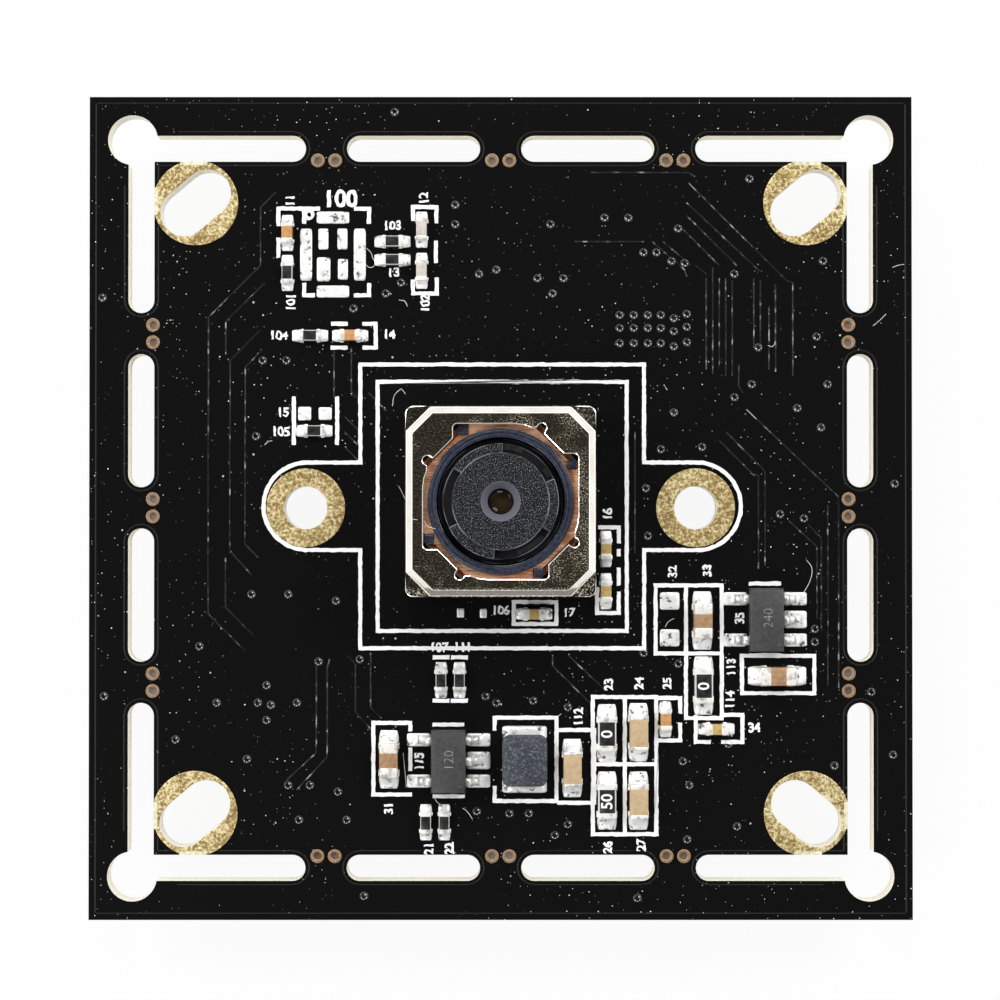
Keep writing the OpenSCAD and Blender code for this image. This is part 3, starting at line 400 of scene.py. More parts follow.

# Over the copper the mask is thin and glossy; its pale grey patches are painted highlight along the ridges,
# painted stronger towards the far upper right corner
thin_mask = new_finish("mask_over_copper", mask_black, 0.22)
preset(thin_mask, "IOR", 1.75)
ridge_highlight_grain = grain(thin_mask, 2300.0, 2.0)
far_corner = spot(thin_mask)
corner_reach = maths(thin_mask, "ADD", far_corner["X"], far_corner["Y"])
painted_highlight_to_corner = mapped(thin_mask, corner_reach, (18 * MM, 25 * MM), (0.0, 0.06))
ridge_highlight_share = maths(thin_mask, "ADD", ridge_highlight_grain, painted_highlight_to_corner)
paint(thin_mask, "Base Color", ramp(
    thin_mask, ridge_highlight_share, (0.48, mask_black), (0.58, grey(0.035)), (0.7, grey(0.35)),
))

tracks = bmesh.new()
for run in track_runs:
    for start, end in zip(run, run[1:]):
        add_ridge(tracks, start, end, track_width, track_height, board_front)
make_piece("covered_tracks", tracks, thin_mask, smooth=False)

# ---------------------------------------------------------------------------
# Covered vias: plated through-holes 0.3 mm across that the mask has run into, each a small crater
# with a raised rim. They are scattered over the board, with a block of earth vias at the upper right.
# ---------------------------------------------------------------------------

# Scattered vias, in millimetres
via_places = [
    (-4.9, 18.3), (11.5, 15.2), (-2.1, 14.0), (5.9, 13.4), (4.8, 13.4), (2.3, 13.1), (-2.1, 13.1),
    (8.2, 12.9), (6.6, 11.8), (7.2, 11.8), (14.9, 11.4), (7.9, 11.4), (8.5, 11.3), (-0.2, 11.0),
    (10.8, 10.8), (-1.0, 10.8), (1.7, 10.6), (2.9, 10.6), (-4.6, 10.4), (-5.3, 9.9), (2.4, 9.9),
    (-18.4, 9.7), (-6.8, 9.2), (14.6, 7.9), (11.9, 7.4), (-9.9, 6.8), (-11.0, 6.8), (11.6, 5.7),
    (15.1, 5.7), (10.8, 5.1), (13.7, 4.6), (8.0, 4.4), (14.8, 3.7), (-11.3, 3.3), (9.3, 2.8),
    (7.4, 2.7), (18.2, 1.1), (6.7, 0.9), (12.9, -0.3), (14.0, -0.5), (6.8, -1.3), (-11.5, -4.0),
    (-9.8, -4.0), (-7.6, -4.3), (14.5, -5.6), (14.5, -6.2), (-13.9, -6.4), (6.6, -6.7), (-6.5, -7.0),
    (-8.4, -7.1), (8.2, -7.2), (-10.8, -8.2), (17.1, -8.5), (-18.3, -8.7), (-0.7, -8.7), (1.5, -8.9),
    (-0.2, -9.0), (-13.1, -9.0), (-9.4, -9.0), (-11.2, -9.0), (-10.6, -9.1), (3.1, -9.2), (-10.8, -9.8),
    (-15.0, -10.7), (10.5, -10.9), (18.1, -11.4), (-11.7, -11.6), (8.4, -11.7), (15.4, -11.9),
    (-8.8, -12.8), (-9.8, -12.8), (8.7, -12.8), (-7.5, -13.1), (-1.1, -14.0), (0.4, -14.1), (1.3, -14.1),
    (-9.3, -14.4), (-7.1, -14.4), (3.1, -14.6), (10.9, -14.7), (2.5, -15.1), (8.6, -15.3), (-6.3, -17.9),
    (6.3, -18.0),
]
earth_via_columns = [5.5, 6.15, 6.8, 7.4, 8.0, 8.6]
earth_via_rows = [8.9, 8.3, 7.6]
earth_via_shift = [0.0, 0.0, 0.0, 0.0, -0.15, 0.05]
for column, shift in zip(earth_via_columns, earth_via_shift):
    via_places += [(column, row + shift) for row in earth_via_rows]

# Section of a crater from its outer foot to its middle: radius and height
crater_section = [(0.2, 0.0), (0.18, 0.025), (0.165, 0.034), (0.15, 0.025), (0.12, 0.003), (0.0, 0.002)]

vias = bmesh.new()
for x, y in via_places:
    outline = [
        vias.verts.new(((x + radius) * MM, y * MM, board_front + height * MM))
        for radius, height in crater_section
    ]
    spokes = [vias.edges.new(pair) for pair in zip(outline, outline[1:])]
    bmesh.ops.spin(
        vias, geom=outline + spokes, cent=(x * MM, y * MM, 0), axis=(0, 0, 1),
        angle=2 * math.pi, steps=14, use_merge=True,
    )
bmesh.ops.remove_doubles(vias, verts=vias.verts, dist=0.0005 * MM)
bmesh.ops.recalc_face_normals(vias, faces=vias.faces)


def mottle(finish, scale, detail, depth, strength, *stops, roughness=0.5):
    """One fine grain that changes the colour of a surface and its height."""
    value = grain(finish, scale, detail, roughness)
    paint(finish, "Base Color", ramp(finish, value, *stops))
    relief(finish, value, depth, strength)


covered_via = new_finish("mask_over_vias", mask_black, 0.12)
preset(covered_via, "IOR", 1.9)
mottle(covered_via, 3000.0, 1.0, 0.004 * MM, 0.3, (0.5, mask_black), (0.75, grey(0.03)))
make_piece("covered_vias", vias, covered_via)

# ---------------------------------------------------------------------------
# Gold plating: copper left bare by the mask round the screw holes and the perforations, plated
# with a matt, grainy gold that the board maker grows on it.
# ---------------------------------------------------------------------------

gold_pale = (0.56, 0.42, 0.17)
gold_deep = (0.27, 0.18, 0.06)


def copy_of(node, dissolve=True):
    """A merged copy of a CAD solid's mesh to work on."""
    shape = bmesh.new()
    shape.from_mesh(nodes[node].data)
    bmesh.ops.remove_doubles(shape, verts=shape.verts, dist=0.0008 * MM)
    if dissolve:
        bmesh.ops.dissolve_limit(
            shape, angle_limit=math.radians(1), verts=shape.verts, edges=shape.edges,
        )
    return shape


def round_edges(shape, edges, offset, segments=2, **settings):
    """Rounds the given edges of a shape."""
    bmesh.ops.bevel(
        shape, geom=edges, offset=offset, offset_type="OFFSET", affect="EDGES", segments=segments,
        profile=0.5, material=-1, **settings,
    )


def eased(node, offset, sharpest=25):
    """A copy of a CAD solid with all its sharp edges eased."""
    shape = copy_of(node, dissolve=False)
    limit = math.radians(sharpest)
    sharp = [e for e in shape.edges if len(e.link_faces) == 2 and e.calc_face_angle(0) > limit]
    round_edges(shape, sharp, offset)
    return shape


gold = new_finish("plated_gold", gold_pale, 0.38, 0.4)
gold_grain = grain(gold, 8500.0, 3.0, roughness=0.6)
gold_blotch = grain(gold, 900.0, 2.0)
blotch_part = maths(gold, "MULTIPLY", gold_blotch, 0.3)
gold_tone = maths(gold, "ADD", gold_grain, blotch_part)
disc_gold = ramp(
    gold, gold_tone, (0.55, gold_deep), (0.66, gold_pale), (0.78, (0.9, 0.78, 0.48)),
)
# The rings of the perforations lie at the middle edge, and their thin plating has tarnished
gold_at = spot(gold)
off_x = maths(gold, "ABSOLUTE", gold_at["X"])
off_y = maths(gold, "ABSOLUTE", gold_at["Y"])
far_off = maths(gold, "MAXIMUM", off_x, off_y)
near_by = maths(gold, "MINIMUM", off_x, off_y)
outward = maths(gold, "GREATER_THAN", far_off, 15.5 * MM)
central = maths(gold, "LESS_THAN", near_by, 9.5 * MM)
perforated = maths(gold, "MULTIPLY", outward, central)
paint(gold, "Base Color", whole(gold, perforated, disc_gold, (0.33, 0.21, 0.12)))
relief(gold, gold_grain, 0.04 * MM, 0.9)
plated = make_piece("gold_rings", eased("gold_plating", 0.03 * MM), gold, smooth=False)
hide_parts("gold_plating")

# ---------------------------------------------------------------------------
# Bare laminate and pour edges: the copper under the mask ends 0.22 mm short of every cut, which shows
# as a faint step. Beside the slotted holes the mask leaves that strip bare, so pale laminate shows.
# ---------------------------------------------------------------------------

inner_edge = 16.0 * MM
pour_inset = 0.17 * MM
slotted_at = 14.18 * MM
bare_length = 1.25 * MM
bare_t = 0.012 * MM
plating_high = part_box("gold_plating")[1].z

bare_laminate = new_finish("bare_laminate", (0.66, 0.62, 0.42), 0.5)
mottle(bare_laminate, 5000.0, 3.0, 0.01 * MM, 0.5, (0.3, (0.5, 0.46, 0.28)), (0.6, (0.78, 0.75, 0.55)))

strips = bmesh.new()
for x, y in ((1, 1), (-1, 1), (-1, -1), (1, -1)):
    for along_x in (True, False):
        reach = inner_edge - pour_inset / 2
        size = (bare_length, pour_inset) if along_x else (pour_inset, bare_length)
        at = (x * slotted_at, y * reach) if along_x else (x * reach, y * slotted_at)
        made = bmesh.ops.create_cube(strips, size=1.0)["verts"]
        bmesh.ops.scale(strips, verts=made, vec=(*size, bare_t))
        bmesh.ops.translate(strips, verts=made, vec=(*at, plating_high))
make_piece("bare_strips", strips, bare_laminate, smooth=False)

pour_line_w = 0.05 * MM
pour_line_h = 0.014 * MM
slot_middle = 16.6
line_gap = 0.78
end_steps = 8
# The run of each slot beside its middle line, from the centre of one round end to the other
slot_runs = [(-6.5, -1.55), (1.55, 6.5)]
corner_run = (9.6, 14.9)


def round_end(x, way):
    """Points along the step round one end of a slot, from its inner to its outer side."""
    angles = [math.pi * step / end_steps for step in range(end_steps + 1)]
    return [
        (x + way * line_gap * math.sin(angle), slot_middle - line_gap * math.cos(angle))
        for angle in angles
    ]


pour_lines = bmesh.new()
for quarter in range(4):
    turn = Matrix.Rotation(math.radians(90 * quarter), 3, "Z")
    runs = []
    for start, end in slot_runs:
        run = round_end(start, -1) + round_end(end, 1)[::-1]
        runs.append(run + run[:1])
    for way in (1, -1):
        near, far = way * corner_run[0], way * corner_run[1]
        low, high = slot_middle - line_gap, slot_middle + line_gap
        corner_end = way * (slot_middle - line_gap)
        runs.append([(corner_end, low)] + round_end(near, -way) + [(far, high)])
    runs.append([(-18.65, 18.7), (18.65, 18.7)])
    for run in runs:
        for first, last in zip(run, run[1:]):
            first, last = (turn @ Vector((*point, 0)) for point in (first, last))
            add_ridge(pour_lines, first.xy, last.xy, pour_line_w, pour_line_h, board_front)
make_piece("pour_edges", pour_lines, solder_mask, smooth=False)

# ---------------------------------------------------------------------------
# White print: epoxy ink screened on the mask, with slightly frayed edges where the screen's mesh
# shows. The CAD solid gives its lines, and their outlines are roughened here.
# ---------------------------------------------------------------------------

print_fray = 0.03 * MM
print_step = 0.11 * MM
print_grain = 0.13 * MM
fray_seed = 4
noise.seed_set(fray_seed)

ink = new_finish("print_ink", grey(0.94), 0.55)
mottle(ink, 5000.0, 3.0, 0.01 * MM, 0.5, (0.25, grey(0.75)), (0.42, grey(0.95)))

lines = copy_of("printed_lines")
for _ in range(9):
    long_edges = [e for e in lines.edges if e.calc_length() > 2 * print_step]
    if not long_edges:
        break
    bmesh.ops.subdivide_edges(lines, edges=long_edges, cuts=1)
bmesh.ops.triangulate(lines, faces=[f for f in lines.faces if len(f.verts) > 4])
for vert in lines.verts:
    frayed = noise.noise_vector(Vector((vert.co.x, vert.co.y, 0)) / print_grain)
    vert.co.x += frayed.x * print_fray
    vert.co.y += frayed.y * print_fray
printed = make_piece("white_print", lines, ink, smooth=False)
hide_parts("printed_lines")

# ---------------------------------------------------------------------------
# Printed numbers: each part has its number beside it in the same white ink, too small for the
# screen, so the digits run together. Plain counting numbers stand here.
# ---------------------------------------------------------------------------


def lettering(name, marks, height, stroke, finish, level, thickness=0.02 * MM, fray=0.0):
    """Flat digits: each mark is its text, the place of its middle in millimetres and its turn."""
    fray_grain = 0.16 * MM
    gathered = bmesh.new()
    for text, x, y, turn in marks:
        curve = bpy.data.curves.new(name, "FONT")
        curve.body = text
        curve.size = height
        curve.offset = stroke
        curve.extrude = thickness / 2
        curve.align_x = "CENTER"
        curve.align_y = "CENTER"
        curve.resolution_u = 6
        holder = bpy.data.objects.new(name, curve)
        bpy.context.scene.collection.objects.link(holder)
        flat_mesh = bpy.data.meshes.new_from_object(holder)
        bpy.data.objects.remove(holder)
        flat_mesh.transform(Matrix.Rotation(math.radians(turn), 4, "Z"))
        flat_mesh.transform(Matrix.Translation((x * MM, y * MM, level + thickness / 2)))
        gathered.from_mesh(flat_mesh)
        bpy.data.meshes.remove(flat_mesh)
    bmesh.ops.remove_doubles(gathered, verts=gathered.verts, dist=0.0005 * MM)
    if fray:
        long_edges = [e for e in gathered.edges if e.calc_length() > 0.7 * fray_grain]
        bmesh.ops.subdivide_edges(gathered, edges=long_edges, cuts=2)
        for vert in gathered.verts:
            push = noise.noise_vector(Vector((vert.co.x, vert.co.y, 0)) / fray_grain)
            vert.co += Vector((push.x, push.y, 0)) * fray
    return make_piece(name, gathered, finish, smooth=False)


number_marks = [
    ("11", -9.7, 14.2, 90), ("101", -9.67, 9.5, 90), ("12", -3.53, 14.3, 90), ("102", -3.47, 9.45, 90),
    ("103", -5.0, 13.02, 0), ("13", -4.95, 10.85, 0), ("104", -10.25, 7.95, 0), ("14", -5.15, 8.0, 0),
    ("15", -10.05, 4.4, 0), ("105", -10.15, 3.5, 0), ("16", 4.95, -0.3, 90), ("106", 0.0, -4.75, 0),
    ("17", 3.15, -4.85, 0), ("107", -2.85, -6.45, 0), ("111", -1.75, -6.45, 0), ("21", -3.3, -15.7, 90),
    ("22", -2.35, -15.7, 90), ("23", 5.0, -8.15, 90), ("24", 6.4, -8.1, 90), ("25", 7.7, -8.1, 90),
    ("112", 3.6, -9.65, 90), ("26", 4.95, -15.65, 90), ("27", 6.5, -15.55, 90), ("31", -5.15, -13.85, 90),
    ("32", 7.95, -2.95, 90), ("33", 9.55, -2.9, 90), ("113", 10.65, -7.35, 90), ("114", 10.6, -8.85, 90),
    ("34", 11.7, -10.15, 0), ("35", 11.05, -5.1, 90), ("115", -3.75, -11.7, 90),
]
microphone_mark = [("100", -7.4, 14.25, 0)]
digit_height = 0.56 * MM
large_digit_height = 1.05 * MM
digit_stroke = 0.018 * MM
large_digit_stroke = 0.035 * MM
digit_fray = 0.05 * MM

numbers = lettering(
    "printed_numbers", number_marks, digit_height, digit_stroke, ink, board_front, fray=digit_fray,
)
large_number = lettering(
    "microphone_number", microphone_mark, large_digit_height, large_digit_stroke, ink, board_front,
    fray=digit_fray,
)

# ---------------------------------------------------------------------------
# Tinned pads: bare copper pads that the solder has wetted. Those of the microphone and six spare
# ones carry only a low, uneven cushion of solder.
# ---------------------------------------------------------------------------


def join(shape, part, finish_index=0, matrix=None):
    """Adds a finished part to a shape, moved into place, with one finish all over it."""
    for face in part.faces:
        face.material_index = finish_index
    loose = bpy.data.meshes.new("loose_part")
    part.to_mesh(loose)
    part.free()
    if matrix:
        loose.transform(matrix)
    shape.from_mesh(loose)
    bpy.data.meshes.remove(loose)


def fine_cube(cuts):
    """A cube of side 1 about the origin, each face divided into small squares."""
    part = bmesh.new()
    bmesh.ops.create_cube(part, size=1.0)
    bmesh.ops.subdivide_edges(part, edges=part.edges[:], cuts=cuts, use_grid_fill=True)
    return part


def cushion(width, length, height, crown=0.4, cuts=7):
    """A low cushion of solder on a pad: flat at the rim, full in the middle."""
    part = fine_cube(cuts)
    for vert in part.verts:
        across, along = 2 * vert.co.x, 2 * vert.co.y
        rim = (1 - abs(across) ** 5) * (1 - abs(along) ** 5)
        full = height * ((1 - crown) + crown * rim)
        corner = max(0.0, abs(across) + abs(along) - 1.75)
        vert.co.x *= width * (1 - 0.25 * corner)
        vert.co.y *= length * (1 - 0.25 * corner)
        vert.co.z = (vert.co.z + 0.5) * full
    return part


tin = new_finish("tinned_solder", (0.80, 0.80, 0.78), 0.3, 0.3)
mottle(
    tin, 3400.0, 4.0, 0.06 * MM, 0.9,
    (0.35, (0.12, 0.12, 0.11)), (0.42, (0.85, 0.85, 0.82)), (0.48, grey(1.0)), roughness=0.62,
)

pad_height = 0.07 * MM
microphone_x, microphone_y = -7.75, 11.7
# Pads of the microphone, from its middle: place, width and length in millimetres
microphone_pads = [
    (0.0, 1.71, 1.5, 0.55), (0.0, -1.71, 1.5, 0.55), (-1.24, 0.0, 0.55, 2.4), (1.24, 0.0, 0.55, 2.4),
    (-0.44, 0.72, 0.46, 0.96), (0.44, 0.72, 0.46, 0.96), (-0.43, -0.68, 0.62, 1.1), (0.46, -0.68, 0.46, 0.95),
]
spare_pads = [
    (-9.05, 4.35, 0.6, 0.62), (-8.1, 4.35, 0.6, 0.58), (7.8, -4.3, 0.9, 0.8), (7.8, -6.0, 0.9, 0.78),
    (-1.85, -4.85, 0.32, 0.42), (-0.8, -4.87, 0.32, 0.42),
]
bare_pads = bmesh.new()
microphone_here = [
    (microphone_x + x, microphone_y + y, width, length) for x, y, width, length in microphone_pads
]
for x, y, width, length in microphone_here + spare_pads:
    join(
        bare_pads, cushion(width * MM, length * MM, pad_height), 0,
        Matrix.Translation((x * MM, y * MM, board_front)),
    )
open_pads = make_piece("open_pads", bare_pads, tin)
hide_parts("solder_joints")

# ---------------------------------------------------------------------------
# Chip capacitors: blocks of fired ceramic layers, tan to brown, their two ends dipped in metal and
# tinned. Each end stands in a fillet of solder that rises from its pad.
# ---------------------------------------------------------------------------


def block(low, high, rounding, steps=2):
    """A block between two corners, its edges rounded."""
    part = bmesh.new()
    bmesh.ops.create_cube(part, size=1.0)
    low, high = Vector(low), Vector(high)
    bmesh.ops.scale(part, verts=part.verts, vec=high - low)
    bmesh.ops.translate(part, verts=part.verts, vec=(low + high) / 2)
    round_edges(part, part.edges[:], rounding, steps, clamp_overlap=True)
    return part


def fillet(reach, width, high, low, cuts=6):
    """Solder from a chip's end down to the pad's rim, hollow on top, reaching along +X."""
    part = fine_cube(cuts)
    for vert in part.verts:
        run, across = vert.co.x + 0.5, 2 * vert.co.y
        top = low + (high - low) * (1 - run) ** 2.2
        top *= 1 - 0.75 * abs(across) ** 4
        narrowed = 1 - 0.18 * run ** 3
        vert.co = Vector((run * reach, vert.co.y * width * narrowed, (vert.co.z + 0.5) * top))
    return part


def chip_place(node):
    """The middle of a chip's foot on the board, its length, width and height, and its turn."""
    low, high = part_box(node)
    size = high - low
    turn = 90 if size.y > size.x else 0
    middle = (low + high) / 2
    place = Matrix.Translation((middle.x, middle.y, board_front))
    matrix = place @ Matrix.Rotation(math.radians(turn), 4, "Z")
    return matrix, max(size.x, size.y), min(size.x, size.y), high.z - board_front


def ceramic(name, dark, light):
    """Fired ceramic: two close tones in a fine grain, slightly glossy."""
    fired = new_finish(name, light, 0.38)
    mottle(fired, 5200.0, 4.0, 0.008 * MM, 0.5, (0.3, dark), (0.6, light))
    return fired


brown_ceramic = ceramic("brown_ceramic", (0.30, 0.17, 0.09), (0.42, 0.26, 0.14))
tan_ceramic = ceramic("tan_ceramic", (0.46, 0.32, 0.18), (0.56, 0.41, 0.25))
orange_ceramic = ceramic("orange_ceramic", (0.44, 0.21, 0.07), (0.58, 0.31, 0.12))
ochre_ceramic = ceramic("ochre_ceramic", (0.42, 0.28, 0.09), (0.55, 0.39, 0.15))
cream_ceramic = ceramic("cream_ceramic", (0.50, 0.44, 0.40), (0.62, 0.56, 0.52))

plated_end = new_finish("plated_end", (0.72, 0.70, 0.66), 0.42, 0.25)
mottle(plated_end, 3600.0, 4.0, 0.025 * MM, 0.7, (0.32, (0.42, 0.4, 0.36)), (0.5, (0.9, 0.88, 0.83)))

# Finish of each capacitor and the length of its plated ends in millimetres
capacitors = {
    "small": [
        (orange_ceramic, 0.25), (cream_ceramic, 0.2), (cream_ceramic, 0.22), (orange_ceramic, 0.28),
        (ochre_ceramic, 0.3), (ochre_ceramic, 0.27), (ochre_ceramic, 0.29), (orange_ceramic, 0.25),
        (ochre_ceramic, 0.31),
    ],
    "large": [
        (brown_ceramic, 0.5), (tan_ceramic, 0.16), (tan_ceramic, 0.22), (tan_ceramic, 0.25),
        (brown_ceramic, 0.52), (brown_ceramic, 0.48),
    ],
}
# Length over both pads and width of a pad, for small and for large chips
chip_pads = {"small": (1.66 * MM, 0.62 * MM), "large": (2.68 * MM, 0.96 * MM)}
end_proud = 0.012 * MM
solder_foot = 0.05 * MM


def add_ends(shape, length, width, height, end_length, rounding, finish_index):
    """The plated metal round the two ends of a chip."""
    for side in (1, -1):
        low_x, high_x = sorted((side * length / 2, side * (length / 2 - end_length)))
        plated = block((low_x, -width / 2, solder_foot), (high_x, width / 2, height), rounding, steps=3)
        join(shape, plated, finish_index)


def add_joints(shape, length, width, height, pads, pad_width, finish_index):
    """The two fillets of a chip and the cushions of solder under its ends."""
    sunk = 0.03 * MM
    for half_turn in (0, math.pi):
        turn = Matrix.Rotation(half_turn, 4, "Z")
        start = length / 2 - sunk
        rise = fillet((pads - length) / 2 + sunk, (width + pad_width) / 2, 0.62 * height, solder_foot)
        join(shape, rise, finish_index, turn @ Matrix.Translation((start, 0, 0)))
        under = block(
            (0.3 * length, -pad_width / 2, 0), (start, pad_width / 2, solder_foot), 0.015 * MM,
        )
        join(shape, under, finish_index, turn)


for size_name, kinds in capacitors.items():
    pads, pad_width = chip_pads[size_name]
    for number, (fired, end_mm) in enumerate(kinds, 1):
        node = f"{size_name}_capacitor_{number}"
        matrix, length, width, height = chip_place(node)
        end_length = end_mm * MM
        chip = bmesh.new()
        join(chip, block(
            (-length / 2 + 0.05 * MM, -width / 2 + end_proud, solder_foot),
            (length / 2 - 0.05 * MM, width / 2 - end_proud, height - end_proud), 0.02 * MM,
        ))
        add_ends(chip, length, width, height, end_length, 0.09 * height, 1)
        add_joints(chip, length, width, height, pads, pad_width, 2)
        bmesh.ops.transform(chip, matrix=matrix, verts=chip.verts)
        made = make_piece(node + "_chip", chip, fired, plated_end, tin)
        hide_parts(node)

# ---------------------------------------------------------------------------
# Chip resistors: a thin slab of white ceramic with a resistive film under black glaze on its top,
# and tinned metal round its ends. The large ones have a plain number on the glaze.
# ---------------------------------------------------------------------------

white_ceramic = ceramic("white_ceramic", (0.6, 0.6, 0.58), (0.72, 0.72, 0.7))
black_glaze = new_finish("black_glaze", grey(0.014), 0.3)
mottle(black_glaze, 4200.0, 4.0, 0.006 * MM, 0.5, (0.35, grey(0.008)), (0.7, grey(0.035)))

glaze_t = 0.025 * MM
glaze_rim = {"small": 0.04 * MM, "large": 0.075 * MM}
plated_length = {"small": 0.24 * MM, "large": 0.3 * MM}
resistor_count = {"small": 9, "large": 3}
resistor_marks = {"large_resistor_1": "0", "large_resistor_2": "50", "large_resistor_3": "0"}

for size_name, count in resistor_count.items():
    pads, pad_width = chip_pads[size_name]
    end_length, rim = plated_length[size_name], glaze_rim[size_name]
    for number in range(1, count + 1):
        node = f"{size_name}_resistor_{number}"
        matrix, length, width, height = chip_place(node)
        slab_top = height - glaze_t
        chip = bmesh.new()
        join(chip, block(
            (-length / 2 + 0.04 * MM, -width / 2 + end_proud, solder_foot),
            (length / 2 - 0.04 * MM, width / 2 - end_proud, slab_top), 0.015 * MM,
        ))
        join(chip, block(
            (-length / 2 + end_length - 0.04 * MM, -width / 2 + rim, slab_top - glaze_t),
            (length / 2 - end_length + 0.04 * MM, width / 2 - rim, height), 0.012 * MM,
        ), 1)
        add_ends(chip, length, width, height - 0.3 * glaze_t, end_length, 0.04 * MM, 2)
        add_joints(chip, length, width, height, pads, pad_width, 3)
        bmesh.ops.transform(chip, matrix=matrix, verts=chip.verts)
        made = make_piece(node + "_chip", chip, white_ceramic, black_glaze, plated_end, tin)
        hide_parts(node)
        if node in resistor_marks:
            middle = matrix.translation / MM
            mark = lettering(
                node + "_number", [(resistor_marks[node], middle.x, middle.y, 90)], 0.72 * MM, 0.012 * MM,
                ink, board_front + height, 0.01 * MM,
            )

# ---------------------------------------------------------------------------
# Regulators: five-lead chips moulded in dark grey epoxy, with a parting line round the middle, a
# drafted top and bottom and a pin-one dimple. Their bent leads stand in solder on their pads.
# ---------------------------------------------------------------------------

epoxy = new_finish("moulded_epoxy", grey(0.042), 0.5)
mottle(epoxy, 7000.0, 4.0, 0.012 * MM, 0.6, (0.3, grey(0.03)), (0.7, grey(0.06)))

lead_metal = new_finish("lead_metal", (0.74, 0.73, 0.7), 0.26, 0.45)
mottle(lead_metal, 2400.0, 3.0, 0.02 * MM, 0.5, (0.34, (0.35, 0.34, 0.31)), (0.55, (0.94, 0.93, 0.9)))


def moulding(width, length, low, high, parting, draft, rounding):
    """A moulded body: widest at its parting line, drafted above and below, its rims rounded."""
    body = bmesh.new()
    for wide, outer in ((parting, low), (parting, high)):
        half = bmesh.new()
        bmesh.ops.create_cube(half, size=1.0)
        for vert in half.verts:
            at_rim = (vert.co.z > 0) == (outer > wide)
            narrow = draft if at_rim else 0.0
            vert.co.x *= width - 2 * narrow
            vert.co.y *= length - 2 * narrow
            vert.co.z = outer if at_rim else wide
        rim = [e for e in half.edges if all(v.co.z == e.verts[0].co.z for v in e.verts)]
        level = max(e.verts[0].co.z for e in rim) if outer > wide else min(e.verts[0].co.z for e in rim)
        round_edges(half, [e for e in rim if e.verts[0].co.z == level], rounding)
        join(body, half)
    return body


def bent_strip(path, width, thickness):
    """A strip of metal bent along a path of reach and height, of even thickness."""
    part = bmesh.new()
    verts = [part.verts.new((reach, -width / 2, height)) for reach, height in path]
    edges = [part.edges.new(pair) for pair in zip(verts, verts[1:])]
    swept = bmesh.ops.extrude_edge_only(part, edges=edges)["geom"]
    bmesh.ops.translate(
        part, verts=[v for v in swept if isinstance(v, bmesh.types.BMVert)], vec=(0, width, 0),
    )
    bmesh.ops.recalc_face_normals(part, faces=part.faces)
    bmesh.ops.solidify(part, geom=part.faces[:], thickness=thickness)
    bmesh.ops.recalc_face_normals(part, faces=part.faces)
    return part


body_width = 1.6 * MM
lead_pitch = 0.95 * MM
# Bent lead from inside the body to its toe: reach and height over the board
lead_path = [
    (-0.1 * MM, 0.68 * MM), (0.17 * MM, 0.68 * MM), (0.24 * MM, 0.64 * MM), (0.29 * MM, 0.55 * MM),
    (0.34 * MM, 0.26 * MM), (0.38 * MM, 0.16 * MM), (0.45 * MM, 0.12 * MM), (0.66 * MM, 0.1 * MM),
]
lead_width = 0.4 * MM
lead_sheet = 0.12 * MM
regulator_leads = [(-1, -1), (-1, 1), (1, -1), (1, 0), (1, 1)]
regulator_numbers = {"regulator_1": "120", "regulator_2": "240"}

laser_grey = new_finish("laser_mark", grey(0.2), 0.7)
mottle(laser_grey, 9000.0, 2.0, 0.005 * MM, 0.5, (0.35, grey(0.14)), (0.6, grey(0.34)))

for node, number in regulator_numbers.items():
    low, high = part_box(node)
    middle = (low + high) / 2
    length = high.y - low.y
    top = high.z - board_front
    shape = bmesh.new()
    join(shape, moulding(body_width, length, 0.1 * MM, top, 0.62 * MM, 0.05 * MM, 0.045 * MM))
    dimple = bmesh.new()
    bmesh.ops.create_cone(
        dimple, cap_ends=True, segments=20, radius1=0.1 * MM, radius2=0.085 * MM, depth=0.02 * MM,
    )
    join(shape, dimple, 0, Matrix.Translation((0.55 * MM, -1.15 * MM, top)))
    for side, row in regulator_leads:
        turn = Matrix.Rotation(0 if side > 0 else math.pi, 4, "Z")
        place = Matrix.Translation((side * body_width / 2, row * lead_pitch, 0)) @ turn
        pad_width = 0.8 * MM if row == 0 else 0.6 * MM
        join(shape, bent_strip(lead_path, lead_width, lead_sheet), 1, place)
        pad = cushion(1.08 * MM, pad_width, 0.075 * MM, 0.5)
        join(shape, pad, 2, place @ Matrix.Translation((0.58 * MM, 0, 0)))
        toe = fillet(0.3 * MM, lead_width * 1.1, 0.17 * MM, 0.06 * MM)
        join(shape, toe, 2, place @ Matrix.Translation((0.62 * MM, 0, 0)))
    bmesh.ops.translate(shape, verts=shape.verts, vec=(middle.x, middle.y, board_front))
    made = make_piece(node + "_chip", shape, epoxy, lead_metal, tin)
    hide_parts(node)
    lettering(
        node + "_mark", [(number, middle.x / MM + 0.05, middle.y / MM + 0.1, 90)], 0.62 * MM,
        -0.012 * MM, laser_grey, high.z, 0.006 * MM,
    )

# ---------------------------------------------------------------------------
# Power inductor: a coil between two pressed ferrite flanges, potted in blue-grey resin. It stands on
# two wide solder pads that show above and below it.
# ---------------------------------------------------------------------------

ferrite = new_finish("speckled_ferrite", (0.06, 0.07, 0.085), 0.42)
crumbs = put(ferrite, "TexVoronoi", {"Vector": place_of(ferrite), "Scale": 16000.0})
crumb_tone = put(ferrite, "SeparateColor", {"Color": crumbs.outputs["Color"]})
paint(ferrite, "Base Color", ramp(
    ferrite, crumb_tone.outputs["Red"],
    (0.1, (0.024, 0.029, 0.037)), (0.75, (0.05, 0.06, 0.072)), (0.96, (0.13, 0.145, 0.16)),
))
relief(ferrite, crumbs.outputs["Distance"], 0.014 * MM, 0.5)

